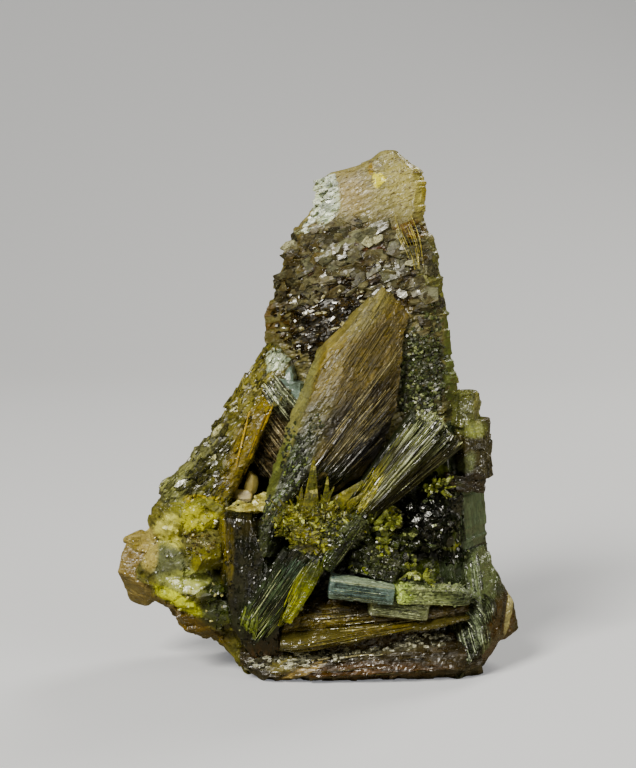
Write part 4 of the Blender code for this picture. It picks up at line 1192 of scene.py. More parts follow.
darkPrism = {
    "stations": [
        (-4.9, 0.2, -1.8, -0.4, -2.6, -4.4, 2.5), (-6.0, 2.0, -2.0, 1.6, -2.5, -5.2, 2.5),
        (-7.4, 4.2, -2.2, 3.4, -2.4, -5.6, 2.5), (-7.7, 6.1, -2.4, 6.1, -2.4, -5.7, 2.5),
        (-7.8, 9.1, -3.2, 9.1, -2.4, -5.6, 2.5), (-7.9, 12.4, -4.6, 12.0, -2.4, -5.4, 2.2),
        (-6.9, 13.0, -4.6, 13.3, -1.6, -3.4, 1.6),
    ],
    "relief": {
        "Lean": lean(84), "Warp": 0.8, "Seed": 9.0, "Tile Length": 3.6, "Tile Height": 0.6,
        "Tile Step": 0.025, "Tile Tilt": lean(3), "Chunk Size": (1.0, 0.9, 1.4), "Chunk Tilt": 0.035,
        "Grain Height": 0.025,
    },
    "look": {
        "base": "0d0f06", "second": "16180a", "mottle": 0.8, "toneSpread": 0.5, "roughness": (0.05, 0.15),
        "facets": (0.5, 0.5, 1.1), "facetTilt": 0.14, "fineTilt": 0.1, "glow": 0.03,
        "striae": {"Lean": lean(86), "Spacing": 0.14, "Length": 3.0}, "striaeDark": 0.35,
        "striaeDepth": 0.012,
        "patches": [
            ("151b0b", (-4.4, 4.4), (2.2, 2.4), {"Soft": 0.4, "Ragged": 1.4}),
            ("18200a", (-3.4, 8.6), (1.0, 3.4), {"Soft": 0.4, "Ragged": 1.2}),
            ("2c2810", (-5.4, 11.6), (1.6, 0.7), {"Soft": 0.5, "Ragged": 1.2}),
            ("38260f", (-3.6, 2.0), (2.2, 1.8), {"Soft": 0.5, "Ragged": 1.4}),
            ("746a1e", (-7.6, 10.2), (0.5, 2.8), {"Soft": 0.3, "Ragged": 0.6}),
            ("4a4210", (-6.8, 9.6), (0.3, 2.4), {"Soft": 0.4, "Ragged": 0.8}),
        ],
    },
    "flecks": {
        "where": [(-4.8, 7.6, 2.4, 4.6, 0.6), (-4.4, 2.6, 2.2, 3.0, 1.0)],
        "shape": {
            "Density": 5.0, "Length": 0.26, "Width": 0.14, "Thickness": 0.12, "Uneven": 0.6, "Scatter": 3.0,
            "Roll": 0.4, "Facing": 0.3, "Seed": 12,
        },
        "look": {
            "base": "1c1e0d", "second": "0e0f06", "toneSpread": 0.8, "facetTilt": 0.1, "fineTilt": 0.1,
            "glints": ("7a7a58", 0.06),
        },
    },
    "cream": [((-5.7, -3.4, 12.75), (3.0, 2.6, 0.8), 61), ((-4.5, -3.0, 13.3), (1.1, 1.8, 1.1), 64)],
    "creamRelief": {"Seed": 3.0, "Chunk Size": (0.6, 0.5, 0.4), "Chunk Tilt": 0.12, "Grain Height": 0.06},
    "finishes": {
        "creamTop": {
            "base": "c8c274", "second": "8e8440", "toneSpread": 0.3, "roughness": (0.2, 0.4), "glow": 0.3,
            "facetTilt": 0.3, "glints": ("e4dfa0", 0.2),
        },
    },
}


def makeDarkPrism():
    look = darkPrism["look"]
    piece = loft("darkPrism", darkPrism["stations"], prismFace, backFace, step=0.15, jag=0.1, seed=11)
    carve(piece, stone("blackPrism", **look), darkPrism["relief"])
    cover("prismFlecks", piece, darkPrism["flecks"], look)
    cream = finishesOf(darkPrism)["creamTop"]
    lumpPiece("creamTop", darkPrism["cream"], cream, darkPrism["creamRelief"], longest=0.14, soften=2)


# Left mass: yellow, grey-green and lime lumps, with the amber nub at the far left

leftMass = {
    "stations": [
        (-6.3, 0.9, -5.0, -0.8, 0.4, -3.4, 4.0), (-9.0, 2.8, -5.0, 2.0, 0.3, -3.6, 5.0),
        (-11.5, 4.2, -5.4, 4.6, 0.2, -3.4, 5.6), (-13.2, 5.7, -5.6, 6.2, 0.2, -3.0, 5.6),
        (-13.7, 8.0, -6.0, 8.0, 0.2, -2.8, 5.6), (-13.4, 10.2, -6.2, 10.2, 0.4, -2.4, 5.4),
        (-12.6, 11.8, -6.4, 11.8, 0.6, -2.0, 5.0),
    ],
    "lumps": [
        ((-11.2, -2.2, 11.2), (3.4, 4.0, 3.4), 3), ((-9.2, -2.8, 12.0), (3.6, 3.6, 2.4), 5),
        ((-9.0, -3.3, 9.5), (3.6, 4.2, 3.8), 8), ((-11.4, -2.6, 8.3), (3.8, 4.6, 3.8), 11),
        ((-9.9, -3.2, 6.6), (5.2, 4.4, 3.4), 14), ((-8.6, -2.8, 4.6), (5.4, 4.0, 2.8), 17),
        ((-8.8, 5.2, 6.0), (5.6, 3.4, 4.6), 50),
    ],
    "relief": {
        "Lean": lean(20), "Seed": 3.0, "Chunk Size": (1.5, 1.2, 1.1), "Chunk Step": 0.1, "Chunk Tilt": 0.3,
        "Grain Height": 0.05,
    },
    "look": {
        "base": "6f6c34", "second": "4b4a20", "toneSpread": 0.2, "roughness": (0.16, 0.4),
        "facets": (0.9, 0.7, 0.6), "facetTilt": 0.18, "fineTilt": 0.14, "speckle": 0.5, "glow": 0.25,
        "patches": [
            ("868640", (-8.8, 12.9), (2.6, 0.9), {"Soft": 0.3}),
            (
                "d6d47a", (-11.2, 11.0), (1.5, 1.3),
                {"Soft": 0.2, "Ragged": 1.0, "Turn": lean(30), "Deep": 3.0},
            ),
            ("b2b040", (-9.3, 12.1), (1.4, 1.0), {"Soft": 0.2, "Ragged": 1.2}),
            ("646234", (-9.2, 10.6), (1.4, 0.8), {"Soft": 0.25, "Ragged": 1.0}),
            ("706d24", (-8.9, 9.2), (1.3, 1.0), {"Soft": 0.3, "Ragged": 1.0}),
            ("5f6444", (-11.6, 8.8), (1.7, 1.3), {"Soft": 0.25, "Ragged": 0.8}),
            ("a6ac64", (-9.6, 7.5), (2.4, 0.9), {"Soft": 0.3, "Ragged": 1.0, "Deep": 2.6}),
            (
                "c6cc40", (-10.7, 6.0), (2.0, 0.62),
                {"Turn": lean(-30), "Soft": 0.2, "Ragged": 1.0, "Deep": 2.6},
            ),
            ("2e3612", (-7.8, 5.8), (1.3, 2.2), {"Soft": 0.4, "Ragged": 1.4}),
            ("5c4a12", (-10.4, 4.3), (3.6, 0.8), {"Turn": lean(-30), "Soft": 0.3}),
            ("b0a468", (-13.0, 9.6), (0.7, 1.6), {"Soft": 0.3}),
        ],
    },
    "grains": {
        "where": [(-10.6, 9.0, 3.4, 4.6, 0.25), (-7.9, 5.8, 1.2, 2.0, 1.0), (-9.4, 12.4, 1.3, 1.0, 0.6)],
        "shape": {
            "Density": 6.0, "Length": 0.24, "Width": 0.17, "Thickness": 0.14, "Scatter": 3.0, "Roll": 0.35,
            "Facing": 0.1, "Seed": 13,
        },
        "look": {"toneSpread": 0.4, "glints": ("cfc98a", 0.05)},
    },
    "silver": {
        "where": [(-9.1, 10.6, 1.2, 0.8, 1.0)],
        "shape": {
            "Density": 9.0, "Length": 0.4, "Width": 0.2, "Thickness": 0.16, "Lean": lean(10), "Top": 0.5,
            "Scatter": 0.6, "Roll": 0.4, "Pitch": -0.25, "Facing": 0.2, "Seed": 14,
        },
        "look": {
            "base": "6b6238", "second": "3a3110", "toneSpread": 0.8, "roughness": (0.05, 0.16),
            "glints": ("d0cba0", 0.25),
        },
    },
    "nub": [((-13.3, 0.2, 7.2), (3.5, 3.8, 4.0), 20)],
    "cap": [((-13.6, 0.6, 9.2), (2.9, 3.0, 2.2), 23)],
    "finishes": {
        "amberNub": {
            "base": "897a4c", "second": "6c5a2a", "mottle": 0.8, "toneSpread": 0.12,
            "roughness": (0.2, 0.42), "glow": 0.2, "facetTilt": 0.12, "speckle": 0.5,
            "patches": [("b0a060", (-12.7, 8.4), (0.8, 1.7), {"Soft": 0.4})],
        },
        "creamCap": {
            "base": "a89a62", "second": "857838", "toneSpread": 0.2, "roughness": (0.2, 0.45), "glow": 0.4,
            "speckle": 0.5,
        },
    },
}


def makeLeftMass():
    look = leftMass["look"]
    finishes = finishesOf(leftMass)
    face = stone("leftMassStone", **look)
    piece = loft("leftMass", leftMass["stations"], roundFace, backFace, step=0.2, jag=0.1, seed=12)
    carve(piece, face, leftMass["relief"])
    lumps = lumpPiece("leftLumps", leftMass["lumps"], face, leftMass["relief"])
    cover("leftGrains", lumps, leftMass["grains"], look)
    cover("leftSilver", lumps, leftMass["silver"], look)
    smooth = {**leftMass["relief"], "Chunk Step": 0.05, "Chunk Tilt": 0.08, "Grain Height": 0.08}
    lumpPiece("amberNub", leftMass["nub"], finishes["amberNub"], smooth)
    lumpPiece("creamCap", leftMass["cap"], finishes["creamCap"], leftMass["relief"])


# Right flank and corner block: dark green crystals with upright and wavy striae

rightFlank = {
    "stations": [
        (6.6, 2.5, 13.4, 3.6, 1.6, -3.0, 5.0), (6.8, 8.0, 12.7, 9.1, 1.4, -2.6, 5.0),
        (6.6, 11.5, 12.6, 11.6, 1.3, -2.3, 4.9), (6.8, 14.0, 12.2, 14.6, 1.2, -1.9, 4.7),
        (7.2, 18.4, 11.0, 19.0, 1.4, -0.8, 4.2),
    ],
    "relief": {
        "Lean": lean(98), "Warp": 0.5, "Seed": 12.0, "Tile Length": 3.0, "Tile Height": 0.35,
        "Tile Step": 0.02, "Tile Tilt": lean(3), "Chunk Size": (0.7, 0.6, 0.6), "Chunk Tilt": 0.02,
        "Grain Height": 0.03,
    },
    "look": {
        "base": "3c4630", "second": "222915", "toneSpread": 0.24, "roughness": (0.16, 0.36),
        "facets": (0.45, 0.45, 1.4), "facetTilt": 0.1, "fineTilt": 0.1, "facetLean": lean(6), "speckle": 0.4,
        "striae": {"Lean": lean(97), "Spacing": 0.16, "Length": 2.4}, "striaeDark": 0.25,
        "striaeDepth": 0.012,
        "patches": [
            ("66765c", (11.5, 12.2), (1.3, 3.4), {"Soft": 0.2, "Ragged": 0.3}),
            ("0c0e06", (8.0, 11.6), (2.0, 3.0), {"Soft": 0.35, "Ragged": 1.0}),
            ("4c5a26", (10.1, 11.4), (0.35, 2.6), {"Soft": 0.5, "Ragged": 1.4}),
            ("a8ad3a", (9.8, 9.7), (0.6, 0.3), {"Soft": 0.4, "Ragged": 1.4}),
            ("050603", (9.4, 8.9), (1.3, 0.36), {"Soft": 0.3, "Ragged": 0.6}),
            ("050603", (11.6, 9.3), (1.3, 0.07), {"Turn": lean(8), "Soft": 0.4, "Ragged": 0.4}),
            ("7e8a3a", (8.4, 15.0), (1.2, 0.8), {"Turn": lean(30), "Soft": 0.25, "Ragged": 1.6}),
        ],
    },
    "laths": [
        {
            "starts": ((10.1, 9.6), (11.0, 9.6)), "ends": ((9.6, 14.6), (10.6, 14.6)), "count": 18,
            "width": 0.07, "lift": -0.03, "uneven": 0.12,
        },
    ],
    "grains": {
        "where": [(8.6, 11.4, 1.8, 3.4, 1.0), (9.8, 8.9, 1.4, 0.7, 0.6)],
        "shape": {
            "Density": 11.0, "Length": 0.34, "Width": 0.2, "Thickness": 0.22, "Uneven": 0.6,
            "Lean": lean(112), "Scatter": 0.6, "Roll": 0.5, "Facing": 0.0, "Seed": 24,
        },
        "look": {
            "base": "20280f", "second": "0d1007", "toneSpread": 0.7, "roughness": (0.06, 0.2),
            "glints": ("8a9368", 0.1),
        },
    },
    "finishes": {
        "greenStriae": {
            "base": "737e63", "second": "181d0d", "mottle": 0.7, "cells": "laths", "toneSpread": 0.85,
            "roughness": (0.16, 0.34), "glints": ("a3ac90", 0.12),
            "patches": [
                ("4d5a42", (11.4, 12.2), (1.4, 3.2), {"Soft": 0.3}),
                ("46381a", (13.6, 3.0), (0.9, 2.4), {"Soft": 0.4, "Ragged": 1.0}),
            ],
        },
    },
}
cornerBlock = {
    "stations": [
        (7.6, -0.8, 12.0, -0.6, 0.0, -4.6, 4.6), (7.8, 0.5, 13.6, 1.9, 0.2, -4.9, 4.8),
        (8.2, 2.6, 15.1, 2.9, 0.4, -4.9, 4.6), (8.6, 4.8, 14.8, 4.8, 0.5, -4.6, 4.2),
        (9.4, 6.3, 13.9, 6.3, 0.6, -4.0, 3.8), (10.0, 8.3, 12.9, 8.3, 0.6, -3.2, 3.2),
        (10.6, 9.0, 12.5, 9.3, 0.6, -2.4, 2.6),
    ],
    "relief": {
        "Lean": lean(70), "Warp": 1.4, "Seed": 14.0, "Tile Length": 2.2, "Tile Height": 0.4,
        "Tile Step": 0.03, "Tile Tilt": lean(4), "Chunk Size": (0.9, 0.7, 0.7), "Chunk Tilt": 0.04,
        "Grain Height": 0.04,
    },
    "look": {
        "base": "39412a", "second": "23280f", "toneSpread": 0.28, "roughness": (0.14, 0.34),
        "facetTilt": 0.2, "fineTilt": 0.2, "speckle": 0.5, "glow": 0.06,
        "patches": [
            ("647049", (12.2, 7.4), (1.2, 2.2), {"Soft": 0.25, "Ragged": 0.4}),
            # Painted shade under the splayed laths, showing as dark gaps between them
            ("262d1a", (11.4, 3.8), (2.0, 2.0), {"Soft": 0.4, "Ragged": 1.0}),
            ("463414", (13.5, 3.2), (1.4, 2.4), {"Soft": 0.25, "Turn": lean(-10), "Ragged": 0.5}),
            ("57402a", (12.9, 1.4), (2.0, 0.8), {"Turn": lean(25), "Soft": 0.4}),
            ("c0b684", (14.4, 4.9), (0.3, 2.2), {"Turn": lean(-14), "Soft": 0.2, "Ragged": 1.2}),
            ("2c2110", (13.9, 5.0), (0.16, 1.9), {"Turn": lean(-14), "Soft": 0.3, "Ragged": 0.8}),
        ],
    },
    "laths": [
        {
            "starts": ((11.0, 6.2), (12.2, 6.2)), "ends": ((10.7, 8.9), (11.8, 9.1)), "count": 12,
            "width": 0.07, "lift": -0.02, "uneven": 0.15,
        },
        {
            "starts": ((8.8, 6.6), (12.2, 6.4)), "ends": ((11.0, 2.4), (13.6, 4.4)), "count": 40,
            "width": 0.06, "lift": 0.06, "uneven": 0.25, "sway": 0.25, "bends": 9,
        },
        {
            "starts": ((9.0, 3.9), (12.6, 4.1)), "ends": ((10.4, 0.4), (12.8, 2.0)), "count": 38,
            "width": 0.065, "lift": 0.1, "uneven": 0.25,
        },
    ],
}


def makeRightSide():
    striae = finishesOf(rightFlank)["greenStriae"]
    rng = random.Random(23)
    for name, table in (("rightFlank", rightFlank), ("cornerBlock", cornerBlock)):
        piece = loft(name, table["stations"], ridgeFace, backFace, step=0.16, jag=0.12, seed=13)
        layLaths(name + "Striae", rng, skinOf(piece), striae, *table["laths"], flatness=0.4)
        carve(piece, stone(name + "Green", **table["look"]), table["relief"])
        if "grains" in table:
            cover(name + "Grains", piece, table["grains"], table["look"])


# Side blocks on the right edge: each one's name, shape, two colours, the lean of its striae and their length

sideBlocks = {
    "blocks": [
        ("sideBlockTop", ((10.9, -0.6, 18.6), (10.9, -0.6, 21.3), 2.0, 2.8, 6), "5a5e34", "70743e", 75, 1.2),
        (
            "sideBlockMiddle", ((11.5, -0.5, 14.7), (11.4, -0.5, 19.2), 2.7, 3.8, 6), "4a4426", "302b14",
            110, 3.2,
        ),
        ("sideBlockFoot", ((9.2, -1.0, 14.6), (12.3, -1.1, 14.2), 1.3, 2.6, 4), "2a200e", "3a2c12", 5, 2.4),
    ],
    "look": {
        "mottle": 0.6, "toneSpread": 0.2, "roughness": (0.14, 0.34), "facetTilt": 0.25, "fineTilt": 0.2,
        "speckle": 0.45, "glow": 0.3, "striaeDark": 0.5, "striaeDepth": 0.03,
        "patches": [
            ("888f50", (11.4, 18.5), (1.0, 0.7), {"Soft": 0.3, "Ragged": 2.0}),
            ("9c9c62", (11.7, 20.3), (0.3, 1.3), {"Soft": 0.4}),
            ("8f9a70", (10.8, 15.6), (0.5, 1.2), {"Turn": lean(-25), "Soft": 0.4, "Ragged": 0.8}),
            ("241a0c", (11.4, 14.8), (1.4, 0.5), {"Soft": 0.4, "Ragged": 1.0}),
        ],
    },
    "relief": {
        "Lean": lean(75), "Warp": 1.5, "Seed": 5.0, "Tile Length": 2.0, "Tile Height": 0.5,
        "Tile Step": 0.03, "Tile Tilt": lean(4), "Chunk Size": (1.1, 1.1, 1.1), "Chunk Tilt": 0.14,
        "Grain Height": 0.04,
    },
}


def makeSideBlocks():
    for name, shape, base, second, grainLean, length in sideBlocks["blocks"]:
        striae = {"Lean": lean(grainLean), "Spacing": 0.35, "Length": length}
        face = stone(name + "Stone", base=base, second=second, striae=striae, **sideBlocks["look"])
        bm = bmesh.new()
        prismMesh(bm, *shape)
        carve(solidPiece(name, bm, longest=0.14, soften=6), face, sideBlocks["relief"])


# Fan and sheaf: bundles of laths, each a row of flat crystals with fine laths on its face

fan = {
    "core": {
        "laths": 11, "start": ((2.0, -3.6, 12.9), (3.8, -3.4, 12.5)),
        "end": ((7.3, -3.7, 20.4), (10.4, -3.0, 18.0)), "bulge": 1.1, "width": 0.6, "thickness": 3.2,
        "uneven": 0.9, "seed": 7, "bed": ((3.0, -3.6, 13.0), (8.4, -3.2, 18.6), 1.8, 2.4, 4),
    },
    "broad": {
        "starts": ((2.1, 13.1), (3.9, 12.4)), "ends": ((7.2, 20.6), (10.6, 17.7)), "count": 30,
        "width": 0.14, "lift": 0.03, "uneven": 0.2,
    },
    "fine": {
        "starts": ((2.0, 12.9), (3.9, 12.3)), "ends": ((7.3, 20.6), (10.7, 17.5)), "count": 180,
        "width": 0.042, "lift": 0.14, "uneven": 0.35, "bends": 7,
    },
    "top": {
        "starts": ((1.8, 13.0), (2.8, 12.6)), "ends": ((3.8, 16.4), (4.8, 15.6)), "count": 28, "width": 0.07,
        "lift": 0.2, "uneven": 0.35,
    },
    "brokenEnds": [(8.0, 20.0, 0.9, 0.5, 1.0), (9.2, 19.1, 0.9, 0.6, 1.0), (10.1, 18.2, 0.7, 0.7, 1.0)],
    "endGrains": {
        "Density": 16.0, "Length": 0.6, "Width": 0.11, "Thickness": 0.1, "Uneven": 0.6, "Lean": lean(50),
        "Scatter": 0.3, "Roll": 0.4, "Facing": -0.4, "Seed": 26,
    },
    "look": {
        "base": "575b36", "second": "2a2812", "mottle": 0.5, "roughness": (0.1, 0.28),
        "facets": (1.4, 0.3, 0.2), "facetLean": lean(50), "facetTilt": 0.15, "fineTilt": 0.12,
        "patches": [
            ("858c62", (8.6, 19.6), (1.8, 1.4), {"Turn": lean(50), "Soft": 0.6}),
            # Painted shade on the fan's lowest laths
            ("38361f", (7.4, 15.6), (4.2, 0.7), {"Turn": lean(42), "Soft": 0.5, "Ragged": 1.4}),
            ("7f7c38", (3.1, 14.4), (2.2, 0.6), {"Turn": lean(57), "Soft": 0.4}),
        ],
    },
    "broadSpread": 0.7,
    "tip": ("b0b994", 0.78),
    "finishes": {
        "fanYellow": {
            "base": "a3a04a", "second": "74732c", "cells": "laths", "toneSpread": 0.5, "glow": 0.2,
            "glints": ("c9c06a", 0.15),
        },
    },
}
sheaf = {
    "core": {
        "laths": 8, "start": ((-2.6, -6.0, 10.1), (0.6, -5.9, 9.6)),
        "end": ((-6.2, -6.0, 4.6), (-4.6, -5.9, 3.0)), "bulge": 0.6, "width": 0.6, "thickness": 1.7,
        "uneven": 0.7, "seed": 9, "bed": ((-1.1, -6.1, 9.7), (-5.3, -6.1, 4.0), 2.3, 1.7, 4),
    },
    "broad": {
        "starts": ((-2.8, 10.0), (0.2, 9.4)), "ends": ((-6.4, 4.3), (-4.7, 3.0)), "count": 16, "width": 0.14,
        "lift": 0.03, "uneven": 0.2,
    },
    "fine": {
        "starts": ((-2.9, 10.1), (0.5, 9.4)), "ends": ((-6.5, 4.2), (-4.6, 2.9)), "count": 130,
        "width": 0.042, "lift": 0.14, "uneven": 0.35, "bends": 7,
    },
    "top": {
        "starts": ((-5.6, 6.2), (-4.6, 5.4)), "ends": ((-6.4, 4.0), (-5.0, 3.0)), "count": 26, "width": 0.06,
        "lift": 0.2, "uneven": 0.35,
    },
    "look": {
        "base": "3e4c34", "second": "19200f", "mottle": 0.5, "roughness": (0.08, 0.24),
        "facets": (1.4, 0.3, 0.2), "facetLean": lean(56), "facetTilt": 0.15, "fineTilt": 0.12,
        "patches": [
            ("4b5c4c", (-1.7, 9.0), (1.1, 0.7), {"Soft": 0.4, "Ragged": 0.6}),
            ("4c5528", (-5.6, 3.9), (0.8, 1.2), {"Soft": 0.4, "Ragged": 1.0}),
        ],
    },
    "broadSpread": 0.4,
    "tip": ("7d8c4a", 0.78),
    "finishes": {
        "sheafTips": {
            "base": "6d7a36", "second": "48541f", "cells": "laths", "toneSpread": 0.6,
            "glints": ("a4ac6a", 0.15),
        },
    },
}
bundleRelief = {"Seed": 2.0, "Grain Height": 0.05, "Chunk Size": (0.8, 0.5, 0.5), "Chunk Tilt": 0.05}


def bundleCore(laths, start, end, bulge, width, thickness, uneven, seed, bed):
    # The same side-by-side laths as in the solid, on a plain bed that closes the gaps between them
    rng = random.Random(seed)
    bm = bmesh.new()
    prismMesh(bm, *bed)
    for place in range(laths):
        share = place / (laths - 1)
        low = Vector(start[0]).lerp(Vector(start[1]), share)
        high = Vector(end[0]).lerp(Vector(end[1]), share)
        proud = bulge * math.sin(math.pi * share) + rng.uniform(-0.25, 0.25)
        low.y -= proud
        high.y -= proud
        high += (high - low).normalized() * rng.uniform(-uneven, 0.2 * uneven)
        spread = width * rng.uniform(0.8, 1.25)
        prismMesh(bm, low, high, spread, thickness, 4, taper=1.05, turn=rng.uniform(-0.2, 0.2))
    return bm


def makeBundles():
    # The cores under the fine laths are darkened: painted shade in the gaps and on the lowest laths
    bed = {"base": "222816", "second": "11150a", "patches": []}
    rng = random.Random(24)
    for name, table in (("fan", fan), ("sheaf", sheaf)):
        piece = solidPiece(name + "Core", bundleCore(**table["core"]), longest=0.3)
        skin = skinOf(piece)
        look = table["look"]
        broad = stone(name + "Broad", **look, cells="laths", toneSpread=table["broadSpread"])
        fine = stone(name + "Fine", **look, cells="laths", toneSpread=0.8, tip=table["tip"],
                     glints=("a6aa84", 0.1))
        layLaths(name + "Broad", rng, skin, broad, table["broad"], flatness=0.7)
        layLaths(name + "Laths", rng, skin, fine, table["fine"])
        carve(piece, stone(name + "Stone", **{**look, **bed}, toneSpread=0.4), bundleRelief)
        for label, finish in finishesOf(table).items():
            layLaths(label, rng, skin, finish, table["top"])
        if "brokenEnds" in table:
            growGrains(name + "Ends", piece, table["brokenEnds"], fine, table["endGrains"])


# Straight crystals low on the front: blue-grey, pale, lime and dark green prisms

lowPrisms = {
    "blueGreyPrism": {
        # Its blue-grey is partly its own colour and partly a painted reflection of the room above, off the
        # upward face
        "shape": ((0.5, -6.5, 7.5), (5.3, -6.5, 6.85), 1.5, 2.6, 4), "base": "71867f", "second": "536663",
        "laths": {
            "starts": ((0.4, 6.9), (0.5, 8.2)), "ends": ((5.3, 6.3), (5.3, 7.5)), "count": 22, "lift": 0.0,
        },
        "tone": 0.5, "rough": (0.14, 0.28), "soften": 2, "uneven": 0.3, "bump": 0.05, "hosts": [],
        "patches": [
            ("4b574a", (2.2, 6.75), (2.4, 0.25), {"Turn": lean(-7), "Soft": 0.4, "Ragged": 1.0}),
            # Painted highlight along the top edge
            ("a7b79c", (3.0, 7.8), (2.8, 0.12), {"Turn": lean(-8), "Soft": 0.4, "Ragged": 0.6}),
        ],
        "grains": None,
    },
    "palePrism": {
        "shape": ((5.2, -6.0, 6.9), (10.8, -4.2, 6.3), 1.3, 2.6, 4), "base": "a5b07c", "second": "707b4e",
        "laths": {"starts": ((5.2, 6.3), (5.2, 7.6)), "ends": ((11.8, 5.6), (10.6, 7.2)), "count": 60},
        "tone": 0.6, "rough": (0.2, 0.4), "soften": 6, "uneven": 0.45, "bump": 0.1, "hosts": ["cornerBlock"],
        "patches": [
            ("b8cc74", (5.7, 6.9), (0.9, 0.9), {"Soft": 0.4, "Ragged": 1.2}),
            ("566044", (10.8, 6.2), (1.2, 1.0), {"Soft": 0.5, "Ragged": 1.2}),
        ],
        "grains": [(7.6, 7.0, 2.8, 0.7, 1.0), (9.6, 6.2, 1.4, 0.6, 0.7)],
    },
    "lowerPrism": {
        "shape": ((3.4, -5.9, 6.1), (7.8, -5.3, 5.4), 1.5, 2.4, 4), "base": "8a9070", "second": "5c6342",
        "laths": {"starts": ((3.3, 5.6), (3.3, 6.6)), "ends": ((7.6, 4.8), (8.4, 6.0)), "count": 50},
        "tone": 0.6, "rough": (0.2, 0.4), "soften": 6, "uneven": 0.5, "bump": 0.06, "hosts": ["cornerBlock"],
        "patches": [], "grains": None,
    },
    "limeBlade": {
        "shape": ((-0.2, -7.1, 9.2), (-2.7, -7.2, 4.9), 1.0, 0.8, 4), "base": "a6a91e", "second": "747d1c",
        "laths": {
            "starts": ((-0.2, 10.2), (0.5, 10.2)), "ends": ((-3.3, 4.6), (-2.9, 4.4)), "count": 46,
            "belly": -0.45, "sway": 0.08, "lift": 0.3,
        },
        "tone": 0.4, "rough": (0.16, 0.35), "soften": 6, "uneven": 0.3, "bump": 0.1, "hosts": ["sheafCore"],
        "patches": [
            ("515a1c", (-0.2, 9.3), (1.2, 1.5), {"Soft": 0.4, "Ragged": 1.0}),
            ("7d8a30", (0.0, 9.9), (0.7, 0.5), {"Soft": 0.4, "Ragged": 1.0}),
        ],
        "grains": [(-1.8, 6.0, 1.0, 1.2, 0.4)],
    },
    "smallGreenPrism": {
        "shape": ((2.9, -5.9, 12.5), (0.1, -6.5, 8.7), 1.3, 1.9, 6), "base": "38431f", "second": "161c0b",
        "laths": {"starts": ((2.2, 12.9), (3.5, 12.0)), "ends": ((-0.6, 9.1), (0.8, 8.2)), "count": 40},
        "tone": 0.8, "rough": (0.1, 0.28), "soften": 3, "uneven": 0.3, "bump": 0.04, "hosts": [],
        "patches": [("4a5230", (2.6, 12.0), (1.0, 0.8), {"Soft": 0.4, "Ragged": 1.0})],
        "grains": [(2.4, 11.8, 1.2, 0.9, 0.8)],
    },
}
lowGrains = {
    "Density": 12.0,
    "Length": 0.26,
    "Width": 0.17,
    "Thickness": 0.18,
    "Lean": lean(-6),
    "Scatter": 1.2,
    "Roll": 0.5,
    "Facing": 0.0,
    "Seed": 22,
}


def makeLowPrisms():
    rng = random.Random(25)
    for name, table in lowPrisms.items():
        look = {"base": table["base"], "second": table["second"], "roughness": table["rough"],
                "facetTilt": 0.2,
                "patches": table["patches"], "mottle": 0.8, "glow": 0.12}
        core = stone(name + "Stone", **look, toneSpread=0.2)
        finish = stone(name + "Laths", **look, cells="laths", toneSpread=table["tone"],
                       glints=("b4bc92", 0.08))
        bm = bmesh.new()
        prismMesh(bm, *table["shape"])
        piece = solidPiece(name, bm, longest=0.25, soften=table["soften"])
        skin = skinOf(piece, *[bpy.data.objects[host] for host in table["hosts"]])
        laths = {"lift": 0.05, "width": 0.055, "uneven": table["uneven"], "bends": 7, **table["laths"]}
        layLaths(name + "Striae", rng, skin, finish, laths, flatness=0.5)
        carve(piece, core, {"Seed": 2.0, "Grain Size": 0.25, "Grain Height": table["bump"],
                            "Chunk Size": (0.8, 0.8, 0.5), "Chunk Tilt": table["bump"]})
        if table["grains"]:
            growGrains(name + "Grains", piece, table["grains"], finish, lowGrains)


# Root mass and druse: the dark green ground of the front crystals, with yellow-olive grains and spikes

